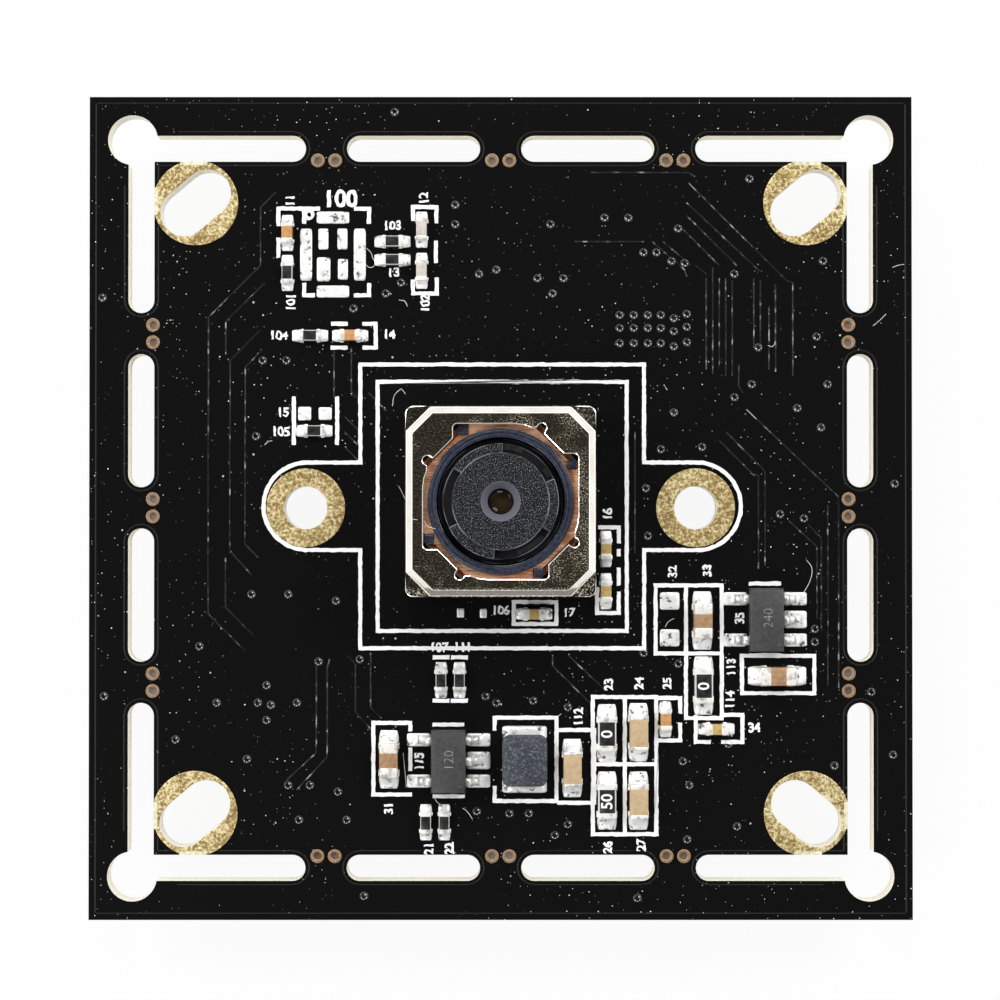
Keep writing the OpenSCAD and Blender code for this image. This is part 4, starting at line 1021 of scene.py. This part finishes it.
low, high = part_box("power_inductor")
middle = (low + high) / 2
half_width, half_length = (high.x - low.x) / 2, (high.y - low.y) / 2
corner_cut = 0.34 * MM
flange_t = 0.3 * MM
block_high = high.z - board_front
block_levels = [
    (0.03 * MM, flange_t, 0.0), (flange_t, block_high - flange_t, 0.12 * MM),
    (block_high - flange_t, block_high, 0.0),
]
coil_block = bmesh.new()
for bottom, top, inset in block_levels:
    slab = bmesh.new()
    bmesh.ops.create_cube(slab, size=1.0)
    for vert in slab.verts:
        vert.co.x *= 2 * (half_width - inset)
        vert.co.y *= 2 * (half_length - inset)
        vert.co.z = bottom if vert.co.z < 0 else top
    upright = [e for e in slab.edges if e.verts[0].co.z != e.verts[1].co.z]
    round_edges(slab, upright, corner_cut - inset, 3)
    rim = [e for e in slab.edges if abs(e.verts[0].co.z - e.verts[1].co.z) < 0.1 * flange_t]
    round_edges(slab, rim, 0.035 * MM)
    join(coil_block, slab)
for side in (1, -1):
    pad = cushion(2 * half_width, 0.62 * MM, 0.16 * MM, 0.7)
    join(coil_block, pad, 1, Matrix.Translation((0, side * (half_length + 0.08 * MM), 0)))
bmesh.ops.translate(coil_block, verts=coil_block.verts, vec=(middle.x, middle.y, board_front))
inductor = make_piece("inductor_block", coil_block, ferrite, tin)
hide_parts("power_inductor")

# ---------------------------------------------------------------------------
# Filter holder and motor base: the black plastic frame glued round the image sensor, and the
# motor's own moulded base that stands on it. Both have fine spark-eroded sides.
# ---------------------------------------------------------------------------

black_plastic = new_finish("black_plastic", grey(0.018), 0.5)
mottle(black_plastic, 9000.0, 3.0, 0.01 * MM, 0.7, (0.3, grey(0.011)), (0.7, grey(0.03)))

for node in ("filter_holder", "motor_base"):
    frame_piece = make_piece(node + "_frame", eased(node, 0.03 * MM), black_plastic, smooth=False)
    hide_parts(node)

# ---------------------------------------------------------------------------
# Motor can: thin sheet drawn to a square cup and plated with nickel, its top framed by a pressed
# bevel. Handling and the press have left it mottled, most of all on the right side of the top.
# ---------------------------------------------------------------------------

can_low, can_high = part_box("motor_can")
lens_y = sum(corner.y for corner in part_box("motor_coil")) / 2
can_half = (can_high.x - can_low.x) / 2
can_top = can_high.z

nickel = new_finish("nickel_sheet", (0.95, 0.91, 0.86), 0.16, 1.0)
near_nickel = place_of(nickel)
pits = grain(nickel, 15000.0, 2.0, roughness=0.6, at=near_nickel)
pit_map = mapped(nickel, pits, (0.5, 0.75))
patches = grain(nickel, 900.0, 4.0, at=near_nickel)
nickel_at = spot(nickel, near_nickel)
to_right = mapped(nickel, nickel_at["X"], (-can_half, can_half), (-0.12, 0.08))
worn_here = maths(nickel, "ADD", patches, to_right)
worn_share = mapped(nickel, worn_here, (0.46, 0.66), (0.12, 0.8))
near_wall = mapped(nickel, nickel_at["Y"], (lens_y - 0.92 * can_half, lens_y - 0.89 * can_half), (1.0, 0.0))
rough_part = maths(nickel, "MAXIMUM", worn_share, near_wall)
pitted = maths(nickel, "MULTIPLY", pit_map, rough_part)
sheet_waves = grain(nickel, 1700.0, 2.0, at=near_nickel)
wave_part = maths(nickel, "MULTIPLY", sheet_waves, 0.6)
relief(nickel, wave_part, 0.02 * MM, 0.8)
# Where the plating has worn it scatters the light: grey-brown, dull and speckled. The near bevel takes this
# dull, pitted colour too, partly as painted shade.
flat_here = way_of_face(nickel)
on_top = maths(nickel, "GREATER_THAN", flat_here["Z"], 0.97)
top_or_near = maths(nickel, "MAXIMUM", on_top, near_wall)
dulled = maths(nickel, "MULTIPLY", pitted, top_or_near)
nickel_metal = mapped(nickel, dulled, (0.0, 0.5), (1.0, 0.1))
paint(nickel, "Metallic", nickel_metal)
nickel_rough = mapped(nickel, pitted, (0.0, 1.0), (0.15, 0.5))
paint(nickel, "Roughness", nickel_rough)
bevel_nickel = ramp(nickel, patches, (0.35, (0.88, 0.80, 0.71)), (0.6, (0.96, 0.93, 0.89)))
# Painted shade: the near bevel is painted dark grey-brown, since less light comes from that side
near_bevel_shade_share = mapped(nickel, near_wall, (0.0, 1.0), (0.0, 0.88))
bevel_nickel_painted_shade = whole(nickel, near_bevel_shade_share, bevel_nickel, (0.2, 0.16, 0.14))
# Painted shade: the flat top is painted darker and browner than the bevels, which catch more light
nickel_shaded_by_facing = whole(nickel, on_top, bevel_nickel_painted_shade, (0.52, 0.45, 0.33))
dull_nickel = ramp(
    nickel, pitted, (0.1, (0.05, 0.042, 0.03)), (0.3, (0.25, 0.22, 0.18)), (0.6, (0.6, 0.57, 0.52)),
)
# Along the cut opening and the crowns of the bevels a narrow line is painted near white and glowing: a
# painted highlight where the rounded sheet edge catches the light
slanting = maths(nickel, "LESS_THAN", flat_here["Z"], 0.95)
rising = maths(nickel, "GREATER_THAN", flat_here["Z"], 0.25)
on_slant = maths(nickel, "MULTIPLY", slanting, rising)
reach_x = maths(nickel, "ABSOLUTE", nickel_at["X"])
away_y = maths(nickel, "SUBTRACT", nickel_at["Y"], lens_y)
reach_y = maths(nickel, "ABSOLUTE", away_y)
from_middle = maths(nickel, "MAXIMUM", reach_x, reach_y)
inside_rim = maths(nickel, "LESS_THAN", from_middle, 0.87 * can_half)
diagonal = maths(nickel, "ADD", reach_x, reach_y)
inside_cut = maths(nickel, "LESS_THAN", diagonal, 1.5 * can_half)
inside_both = maths(nickel, "MULTIPLY", inside_rim, inside_cut)
on_opening = maths(nickel, "MULTIPLY", on_slant, inside_both)
hardly = maths(nickel, "GREATER_THAN", flat_here["Z"], 0.8)
on_crown = maths(nickel, "MULTIPLY", slanting, hardly)
painted_edge_highlight = maths(nickel, "MAXIMUM", on_opening, on_crown)
sheet_tone = whole(nickel, dulled, nickel_shaded_by_facing, dull_nickel)
paint(nickel, "Base Color", whole(nickel, painted_edge_highlight, sheet_tone, (1.0, 0.97, 0.92)))
painted_highlight_glow = maths(nickel, "MULTIPLY", painted_edge_highlight, 0.35)
paint(nickel, "Emission Strength", painted_highlight_glow)
preset(nickel, "Emission Color", (1.0, 0.97, 0.92, 1.0))

can = make_piece("nickel_can", eased("motor_can", 0.035 * MM), nickel, smooth=False)
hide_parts("motor_can")

# ---------------------------------------------------------------------------
# Coil and magnets: enamelled copper wire wound in layers on the carrier, between four sintered
# magnets that are glued into the corners of the can.
# ---------------------------------------------------------------------------

wire_pitch = 0.06 * MM

copper_wire = new_finish("copper_wire", (0.55, 0.23, 0.11), 0.3, 0.8)
wire_at = spot(copper_wire)
turn_angle = maths(copper_wire, "MULTIPLY", wire_at["Z"], 2 * math.pi / wire_pitch)
# Painted shade: the colour darkens in the grooves between the turns, and the same wave gives their relief
turn_shade_and_relief = maths(copper_wire, "SINE", turn_angle)
paint(
    copper_wire, "Base Color", ramp(copper_wire, turn_shade_and_relief, (0.0, (0.2, 0.07, 0.03)), (0.8, (0.6, 0.26, 0.13))),
)
relief(copper_wire, turn_shade_and_relief, 0.02 * MM, 0.8)
dress("motor_coil", copper_wire)

magnet_metal = new_finish("sintered_magnet", (0.3, 0.3, 0.31), 0.42, 0.9)
mottle(magnet_metal, 5200.0, 5.0, 0.012 * MM, 0.6, (0.3, grey(0.16)), (0.7, grey(0.42)))
for number in range(1, 5):
    dress(f"motor_magnet_{number}", magnet_metal)

# ---------------------------------------------------------------------------
# Leaf springs: two etched sheets of rolled beryllium copper, 0.05 mm thick, that guide the lens
# carrier. Their corners are clamped, the ring moves with the carrier, and the four thin arms stay still.
# ---------------------------------------------------------------------------

spring_copper = new_finish("spring_copper", (0.60, 0.30, 0.18), 0.4, 0.1)
spring_place = put(spring_copper, "Mapping", {"Vector": place_of(spring_copper), "Scale": (0.05, 1.0, 1.0)})
rolling_grain = grain(spring_copper, 15000.0, 3.0, at=spring_place.outputs["Vector"])
spring_cloud = grain(spring_copper, 900.0, 3.0)
rolled_tone = maths(spring_copper, "ADD", rolling_grain, spring_cloud)
paint(spring_copper, "Base Color", ramp(
    spring_copper, rolled_tone, (0.85, (0.5, 0.21, 0.1)), (0.98, (0.7, 0.35, 0.2)), (1.15, (0.85, 0.5, 0.31)),
))
relief(spring_copper, rolling_grain, 0.008 * MM, 0.6)

arm_inner = 3.70 * MM
arm_outer = 3.95 * MM
pad_inner = 3.25 * MM
ring_corner = 1.09 * pad_inner


def cut_copy(node, *planes):
    """The part of a CAD sheet behind every plane, each given by its normal and its distance."""
    shape = copy_of(node, dissolve=False)
    for normal, distance in planes:
        normal = Vector(normal).normalized()
        point = normal * distance + Vector((0, lens_y, 0))
        cut = bmesh.ops.bisect_plane(
            shape, geom=shape.verts[:] + shape.edges[:] + shape.faces[:], plane_co=point, plane_no=normal,
            clear_outer=True,
        )
        rim = [e for e in cut["geom_cut"] if isinstance(e, bmesh.types.BMEdge)]
        bmesh.ops.holes_fill(shape, edges=rim)
    return shape


for node in ("upper_leaf_spring", "lower_leaf_spring"):
    sides = [(way, arm_inner) for way in ((1, 0, 0), (-1, 0, 0), (0, 1, 0), (0, -1, 0))]
    corners = [((x, y, 0), ring_corner) for x in (1, -1) for y in (1, -1)]
    inside = cut_copy(node, *sides, *corners)
    ring = make_piece(node + "_ring", inside, spring_copper, body="carriage", smooth=False)
    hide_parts(node)
    for quarter in range(4):
        way = Matrix.Rotation(math.radians(90 * quarter), 3, "Z")
        out, along = way @ Vector((1, 0, 0)), way @ Vector((0, 1, 0))
        pad = cut_copy(node, (-along, -pad_inner), (-out, -pad_inner))
        clamped = make_piece(f"{node}_pad_{quarter + 1}", pad, spring_copper, smooth=False)
        arm = cut_copy(node, (-out, -arm_inner), (along, pad_inner), (-along, 0))
        bmesh.ops.triangulate(arm, faces=arm.faces)
        for _ in range(4):
            long_edges = [e for e in arm.edges if e.calc_length() > 0.25 * MM]
            if long_edges:
                bmesh.ops.subdivide_edges(arm, edges=long_edges, cuts=1)
        bending = make_piece(f"{node}_arm_{quarter + 1}", arm, spring_copper, body=None, smooth=False)
        middle = out * arm_outer + Vector((0, lens_y, board_front))
        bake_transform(bending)

# ---------------------------------------------------------------------------
# Lens carrier: the dark blue moulded bobbin that carries coil and lens. Its round rim, with a fine
# step along its crest, and its four stop tabs show in the opening of the can.
# ---------------------------------------------------------------------------

carrier_blue = new_finish("carrier_plastic", (0.035, 0.047, 0.085), 0.25)
mottle(carrier_blue, 7600.0, 4.0, 0.012 * MM, 0.6, (0.3, (0.012, 0.015, 0.026)), (0.7, (0.043, 0.05, 0.08)))

carrier_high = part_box("lens_carrier")[1].z
carrier_rim = 3.25 * MM
carrier_bore = 2.86 * MM
rim_step = 0.03 * MM
# Section of the rim's crest, from its outer foot to the bore: radius and height over the carrier
crest_section = [
    (carrier_rim, -0.1 * MM), (carrier_rim, -rim_step), (3.16 * MM, 0.0), (3.12 * MM, 0.03 * MM),
    (3.08 * MM, 0.03 * MM), (3.05 * MM, -0.01 * MM), (2.99 * MM, 0.0), (2.96 * MM, 0.02 * MM),
    (2.93 * MM, 0.0), (carrier_bore, -0.08 * MM), (carrier_bore, -0.1 * MM),
]

carrier = eased("lens_carrier", 0.025 * MM)
crest = bmesh.new()
rim_line = [crest.verts.new((radius, 0, height)) for radius, height in crest_section]
rim_edges = [crest.edges.new(pair) for pair in zip(rim_line, rim_line[1:])]
bmesh.ops.spin(
    crest, geom=rim_line + rim_edges, cent=(0, 0, 0), axis=(0, 0, 1), angle=2 * math.pi, steps=120,
    use_merge=True,
)
bmesh.ops.remove_doubles(crest, verts=crest.verts, dist=0.001 * MM)
bmesh.ops.recalc_face_normals(crest, faces=crest.faces)
join(carrier, crest, 0, Matrix.Translation((0, lens_y, carrier_high + 0.004 * MM)))
bobbin = make_piece("carrier_bobbin", carrier, carrier_blue, body="carriage", smooth=False)
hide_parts("lens_carrier")

# ---------------------------------------------------------------------------
# Lens barrel: black moulded plastic. Its face and three lobes are blasted to a sparkling grain, the
# recess between the lobes is plain and glossy, and a smooth grey cone leads to the first lens.
# ---------------------------------------------------------------------------

recess_level = can_top - 0.4 * MM
cone_mouth = 0.88 * MM

barrel_black = new_finish("barrel_plastic", (0.012, 0.013, 0.016), 0.42)
preset(barrel_black, "Specular IOR Level", 0.2)
near_barrel = place_of(barrel_black)
sparkle = grain(barrel_black, 19000.0, 1.0, roughness=0.6, at=near_barrel)
sparkle_colour = ramp(
    barrel_black, sparkle,
    (0.48, (0.003, 0.004, 0.005)), (0.58, (0.014, 0.015, 0.018)), (0.72, (0.24, 0.25, 0.28)),
)
barrel_at = spot(barrel_black, near_barrel)
from_axis_y = maths(barrel_black, "SUBTRACT", barrel_at["Y"], lens_y)
from_axis = put(barrel_black, "CombineXYZ", {"X": barrel_at["X"], "Y": from_axis_y})
radius_here = put(barrel_black, "VectorMath", {0: from_axis.outputs["Vector"]}, operation="LENGTH")
in_cone = maths(barrel_black, "LESS_THAN", radius_here.outputs["Value"], 1.012 * cone_mouth)
on_face = maths(barrel_black, "GREATER_THAN", barrel_at["Z"], recess_level + 0.2 * MM)
recess_colour = whole(barrel_black, on_face, (0.009, 0.009, 0.01), sparkle_colour)
cone_colour = (0.12, 0.12, 0.15)
face_or_cone = whole(barrel_black, in_cone, recess_colour, cone_colour)
# The mould's sharp edges are painted light grey in broken patches: a painted highlight where the eased edges
# catch the light
barrel_facing = way_of_face(barrel_black)
tilted = maths(barrel_black, "LESS_THAN", barrel_facing["Z"], 0.95)
up_facing = maths(barrel_black, "GREATER_THAN", barrel_facing["Z"], 0.2)
on_edge = maths(barrel_black, "MULTIPLY", tilted, up_facing)
outside = maths(barrel_black, "GREATER_THAN", on_edge, in_cone)
barrel_edge_patches = grain(barrel_black, 900.0, 2.0, at=near_barrel)
painted_barrel_edge_highlight = ramp(barrel_black, barrel_edge_patches, (0.42, grey(0.02)), (0.6, (0.22, 0.23, 0.25)))
paint(barrel_black, "Base Color", whole(barrel_black, outside, face_or_cone, painted_barrel_edge_highlight))
bump_share = maths(barrel_black, "SUBTRACT", on_face, in_cone)
bump_here = maths(barrel_black, "MAXIMUM", bump_share, 0.0)
barrel_height = maths(barrel_black, "MULTIPLY", sparkle, bump_here)
relief(barrel_black, barrel_height, 0.03 * MM, 0.8)

barrel = eased("lens_barrel", 0.028 * MM)
# Low pads on the floor of the recess, where the mould's ejector pins stood: angles, radii
ejector_pads = [(66, 86, 2.32 * MM, 2.52 * MM), (27, 37, 2.3 * MM, 2.5 * MM), (-72, -40, 2.3 * MM, 2.5 * MM)]
pad_thick = 0.03 * MM
for start, end, inner, outer in ejector_pads:
    pad = bmesh.new()
    steps = 10
    for step in range(steps):
        first, last = (math.radians(start + (end - start) * at / steps) for at in (step, step + 1))
        ring_points = [
            Vector((radius * math.cos(angle), radius * math.sin(angle), level))
            for level in (0, pad_thick)
            for angle, radius in ((first, inner), (first, outer), (last, outer), (last, inner))
        ]
        around = [pad.verts.new(point) for point in ring_points]
        pad.faces.new(around[4:])
        pad.faces.new(reversed(around[:4]))
        for at in range(4):
            after = (at + 1) % 4
            pad.faces.new((around[at], around[after], around[after + 4], around[at + 4]))
    bmesh.ops.remove_doubles(pad, verts=pad.verts, dist=0.001 * MM)
    join(barrel, pad, 1, Matrix.Translation((0, lens_y, recess_level)))
pad_black = new_finish("recess_pads", grey(0.024), 0.3)
mottle(pad_black, 3000.0, 3.0, 0.004 * MM, 0.4, (0.3, grey(0.014)), (0.7, grey(0.034)))
barrel_piece = make_piece("barrel_moulding", barrel, barrel_black, pad_black, body="carriage", smooth=False)
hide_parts("lens_barrel")

# ---------------------------------------------------------------------------
# Lenses: four moulded elements with a dark anti-reflection coating, the front one bulging a little
# behind the cone, and the black ring pressed in behind them.
# ---------------------------------------------------------------------------

lens_glass = new_finish("lens_glass", (0.028, 0.02, 0.012), 0.03)
preset(lens_glass, "Transmission Weight", 0.25)
preset(lens_glass, "IOR", 1.53)
preset(lens_glass, "Specular IOR Level", 0.06)
coat_haze = grain(lens_glass, 1500.0, 3.0)
paint(lens_glass, "Base Color", ramp(
    lens_glass, coat_haze, (0.35, (0.012, 0.007, 0.004)), (0.65, (0.032, 0.02, 0.01)),
))
for number in range(1, 5):
    dress(f"lens_element_{number}", lens_glass)
dress("lens_retaining_ring", black_plastic)

# ---------------------------------------------------------------------------
# Sensor and filter: a silicon die with its fine grid of light cells under a cover glass, and the
# pale blue-green infrared filter glued into the holder.
# ---------------------------------------------------------------------------

cell_pitch = 0.02 * MM

die = new_finish("silicon_die", (0.05, 0.055, 0.09), 0.25, 0.5)
grid = put(die, "TexBrick", {
    "Vector": place_of(die), "Scale": 1.0, "Brick Width": cell_pitch, "Row Height": cell_pitch,
    "Mortar Size": 0.1 * cell_pitch, "Color1": (0.06, 0.09, 0.12, 1), "Color2": (0.09, 0.06, 0.12, 1),
    "Mortar": (0.01, 0.01, 0.012, 1),
}, offset=0.0)
paint(die, "Base Color", grid.outputs["Color"])
relief(die, grid.outputs["Fac"], 0.002 * MM, 0.4)
dress("image_sensor", die)

for node, tint in (("sensor_cover_glass", (0.92, 0.96, 0.95)), ("infrared_filter", (0.55, 0.8, 0.78))):
    plate = new_finish(node + "_glass", tint, 0.03)
    preset(plate, "Transmission Weight", 0.9)
    preset(plate, "IOR", 1.5)
    deeper = [0.92 * part for part in tint]
    mottle(plate, 1200.0, 2.0, 0.002 * MM, 0.3, (0.2, deeper), (0.7, tint))
    dress(node, plate)

# ---------------------------------------------------------------------------
# Processor and flash memory: chips moulded in black epoxy on the back of the board. The processor
# stands on flat lands round its rim, the flash on eight bent leads.
# ---------------------------------------------------------------------------

chip_epoxy = new_finish("black_epoxy", grey(0.02), 0.48)
mottle(chip_epoxy, 5200.0, 4.0, 0.012 * MM, 0.6, (0.3, grey(0.014)), (0.7, grey(0.034)), roughness=0.7)

board_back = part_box("circuit_board")[0].z


def back_place(node):
    """The turn that lays a part made upright onto the back, its half size and its height."""
    low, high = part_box(node)
    middle = (low + high) / 2
    over = Matrix.Translation((0, 0, board_back)) @ Matrix.Rotation(math.pi, 4, "X")
    return Matrix.Translation((middle.x, middle.y, 0)) @ over, (high - low) / 2, board_back - low.z


on_back, processor_size, processor_h = back_place("image_processor")
processor_half = processor_size.x
land_pitch = 0.5 * MM
land_count = 12
land_size = (0.5 * MM, 0.24 * MM)

processor = bmesh.new()
join(processor, moulding(
    2 * processor_half, 2 * processor_half, 0.06 * MM, processor_h, 0.3 * MM, 0.02 * MM, 0.05 * MM,
), 0, on_back)
dot = bmesh.new()
bmesh.ops.create_cone(dot, cap_ends=True, segments=32, radius1=0.32 * MM, radius2=0.3 * MM, depth=0.03 * MM)
dot_reach = 0.78 * processor_half
join(processor, dot, 0, on_back @ Matrix.Translation((-dot_reach, dot_reach, processor_h)))
heat_pad = 0.7 * processor_half
join(processor, block(
    (-heat_pad, -heat_pad, 0), (heat_pad, heat_pad, 0.07 * MM), 0.01 * MM,
), 1, on_back)
for quarter in range(4):
    for number in range(land_count):
        shift = (number - (land_count - 1) / 2) * land_pitch
        turn = Matrix.Rotation(math.radians(90 * quarter), 4, "Z")
        land = cushion(land_size[0] + 0.2 * MM, land_size[1], 0.11 * MM, 0.5, cuts=4)
        join(
            processor, land, 1, on_back @ turn @ Matrix.Translation((processor_half - 0.12 * MM, shift, 0)),
        )
processor_chip = make_piece("processor_chip", processor, chip_epoxy, tin)
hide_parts("image_processor")

on_back, flash_half, flash_h = back_place("flash_memory")
flash_length = 2 * flash_half.y
flash_width = 3.9 * MM
flash_reach = (2 * flash_half.x - flash_width) / 2
flash_pitch = 1.27 * MM
flash_lead_width = 0.42 * MM
half_h = flash_h / 2
# Bent lead of the flash from inside the body to its toe: reach and height over the board
flash_path = [
    (-0.15 * MM, half_h), (0.26 * MM, half_h), (0.36 * MM, 0.94 * half_h), (0.42 * MM, 0.8 * half_h),
    (0.5 * MM, 0.3 * half_h), (0.56 * MM, 0.17 * half_h), (0.66 * MM, 0.12 * half_h),
    (flash_reach, 0.11 * half_h),
]

flash = bmesh.new()
join(flash, moulding(
    flash_width, flash_length, 0.1 * MM, flash_h, half_h, 0.12 * MM, 0.06 * MM,
), 0, on_back)
for half_turn in (0, math.pi):
    for number in range(4):
        turn = Matrix.Rotation(half_turn, 4, "Z")
        place = on_back @ turn @ Matrix.Translation((flash_width / 2, (number - 1.5) * flash_pitch, 0))
        join(flash, bent_strip(flash_path, flash_lead_width, 0.15 * MM), 1, place)
        toe = cushion(0.7 * MM, 1.3 * flash_lead_width, 0.1 * MM, 0.5, cuts=4)
        join(flash, toe, 2, place @ Matrix.Translation((flash_reach - 0.25 * MM, 0, 0)))
flash_chip = make_piece("flash_chip", flash, chip_epoxy, lead_metal, tin)
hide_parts("flash_memory")

# ---------------------------------------------------------------------------
# Crystal: the resonator that clocks the processor, in a ceramic tray that stands on the board. A
# steel lid is seam-welded on the tray.
# ---------------------------------------------------------------------------

on_back, crystal_half, crystal_h = back_place("crystal")
tray_h = 0.3 * MM
lid_inset = 0.15 * MM

lid_steel = new_finish("lid_steel", (0.62, 0.61, 0.58), 0.28, 0.95)
mottle(lid_steel, 3200.0, 5.0, 0.008 * MM, 0.5, (0.3, grey(0.45)), (0.7, grey(0.7)), roughness=0.7)

resonator = bmesh.new()
join(resonator, block(
    (-crystal_half.x, -crystal_half.y, 0.02 * MM), (crystal_half.x, crystal_half.y, tray_h), 0.03 * MM,
), 0, on_back)
lid_x, lid_y = crystal_half.x - lid_inset, crystal_half.y - lid_inset
lid = block((-lid_x, -lid_y, 0.8 * tray_h), (lid_x, lid_y, crystal_h), 0.09 * MM, steps=3)
join(resonator, lid, 1, on_back)
resonator_piece = make_piece("crystal_case", resonator, white_ceramic, lid_steel)
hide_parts("crystal")

# ---------------------------------------------------------------------------
# Cable socket: moulded in off-white nylon with a keyed mouth towards the edge of the board, and four
# tinned square pins bent down behind it.
# ---------------------------------------------------------------------------

nylon = new_finish("socket_nylon", (0.78, 0.75, 0.68), 0.42)
mottle(nylon, 4200.0, 4.0, 0.01 * MM, 0.5, (0.3, (0.7, 0.67, 0.6)), (0.7, (0.82, 0.79, 0.72)))
preset(nylon, "Subsurface Weight", 0.1)
preset(nylon, "Subsurface Radius", (0.4 * MM, 0.35 * MM, 0.3 * MM))

socket = make_piece("socket_housing", eased("cable_socket", 0.06 * MM), nylon, smooth=False)
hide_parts("cable_socket")
pins = make_piece("socket_pin_row", eased("socket_pins", 0.03 * MM), lead_metal, smooth=False)
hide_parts("socket_pins")

# ---------------------------------------------------------------------------
# Drilled perforations: each row of holes eases the breaking of the frame. Near the front each hole is
# closed by a dull pinkish disc: painted shade, standing for the dim inside of the hole.
# ---------------------------------------------------------------------------

perforation_r = 0.21 * MM
hole_shade_depth = 0.14 * MM
hole_shade_t = 0.02 * MM
perforation_pitch = 0.8 * MM
bridge_pitch = 8.05 * MM
perforation_line = 16.06 * MM

# Painted shade: a dull pinkish-brown colour for the dim inside of each hole
painted_hole_shade = new_finish("painted_hole_shade", (0.5, 0.42, 0.4), 0.6)
hole_shade_cloud = grain(painted_hole_shade, 240.0, 2.0)
paint(painted_hole_shade, "Base Color", ramp(
    painted_hole_shade, hole_shade_cloud, (0.4, (0.13, 0.07, 0.04)), (0.55, (0.2, 0.17, 0.15)),
))
hole_shade_grain = grain(painted_hole_shade, 7000.0, 2.0)
relief(painted_hole_shade, hole_shade_grain, 0.01 * MM, 0.5)

hole_shade_layer = bmesh.new()
for quarter in range(4):
    turn = Matrix.Rotation(math.radians(90 * quarter), 4, "Z")
    for bridge in (-1, 0, 1):
        for side in (-0.5, 0.5):
            x = bridge * bridge_pitch + side * perforation_pitch
            one_shade_disc = bmesh.new()
            bmesh.ops.create_cone(
                one_shade_disc, cap_ends=True, segments=20, radius1=perforation_r, radius2=perforation_r, depth=hole_shade_t,
            )
            join(hole_shade_layer, one_shade_disc, 0, turn @ Matrix.Translation((x, perforation_line, board_front - hole_shade_depth)))
make_piece("perforation_shade_discs", hole_shade_layer, painted_hole_shade, smooth=False)

# ---------------------------------------------------------------------------
# Lint: a few loose fibres of cloth, thinner than a hair, that have settled on the board, the can and
# the lens carrier. Each lies loose on the piece below it.
# ---------------------------------------------------------------------------

fibre_r = 0.012 * MM
on_board = board_front + 0.02 * MM
on_can = can_top + 0.02 * MM
on_carrier = carrier_high + 0.06 * MM
fibres = [
    [(14.1, -2.4), (14.35, -2.75), (14.3, -3.3), (14.0, -3.9)], [(7.6, -5.5), (7.7, -5.3), (8.0, -5.1)],
    [(-6.2, 12.0), (-6.0, 11.8), (-5.9, 11.5)], [(-1.75, -13.85), (-1.55, -14.0), (-1.3, -14.35)],
    [(-4.7, 1.0), (-4.55, 0.7), (-4.4, 0.4)], [(-3.1, -13.2), (-2.9, -13.6), (-2.5, -13.7)],
    [(-4.5, -11.3), (-4.4, -12.3), (-4.35, -12.9)], [(1.8, -9.7), (2.4, -9.75), (2.8, -9.5)],
    [(18.1, 11.1), (18.35, 11.2), (18.65, 11.25)], [(17.2, 8.4), (17.5, 8.65), (17.8, 8.95)],
    [(12.35, 7.5), (12.55, 7.45), (12.7, 7.7)], [(11.35, 4.55), (11.6, 4.3), (11.8, 4.1)],
    [(7.6, 5.6), (7.65, 5.5), (7.7, 5.45)], [(-4.7, 9.6), (-4.45, 9.55), (-4.3, 9.3)],
    [(-4.6, 5.5), (-4.9, 5.2), (-5.0, 4.7)], [(-4.6, 5.5), (-4.5, 5.4), (-4.4, 5.25)],
    [(-10.9, 2.9), (-10.75, 3.05), (-10.55, 3.1)], [(-6.3, 11.3), (-6.0, 11.1), (-5.8, 11.3), (-5.95, 11.6)],
]
can_fibres = [[(-4.05, -0.3), (-3.95, -0.5), (-3.7, -0.57)]]
carrier_fibres = [[(-3.4, -0.62), (-3.3, -0.8), (-2.9, -0.98)]]

lint_white = new_finish("cloth_fibre", grey(0.8), 0.7)
mottle(lint_white, 5000.0, 2.0, 0.004 * MM, 0.4, (0.3, grey(0.55)), (0.6, grey(0.85)))


def fibre_piece(name, runs, level, body="board"):
    """Loose fibres: round threads along smooth curves through the given points."""
    curve = bpy.data.curves.new(name, "CURVE")
    curve.dimensions = "3D"
    curve.bevel_depth = fibre_r
    curve.bevel_resolution = 1
    curve.resolution_u = 6
    for run in runs:
        spline = curve.splines.new("BEZIER")
        spline.bezier_points.add(len(run) - 1)
        for point, (x, y) in zip(spline.bezier_points, run):
            point.co = (x * MM, y * MM, level)
            point.handle_left_type = point.handle_right_type = "AUTO"
    holder = bpy.data.objects.new(name, curve)
    bpy.context.scene.collection.objects.link(holder)
    thread_mesh = bpy.data.meshes.new_from_object(holder)
    bpy.data.objects.remove(holder)
    thread = bmesh.new()
    thread.from_mesh(thread_mesh)
    bpy.data.meshes.remove(thread_mesh)
    return make_piece(name, thread, lint_white, body=body)


fibre_piece("board_lint", fibres, on_board)
fibre_piece("can_lint", can_fibres, on_can)
fibre_piece("carrier_lint", carrier_fibres, on_carrier, body="carriage")
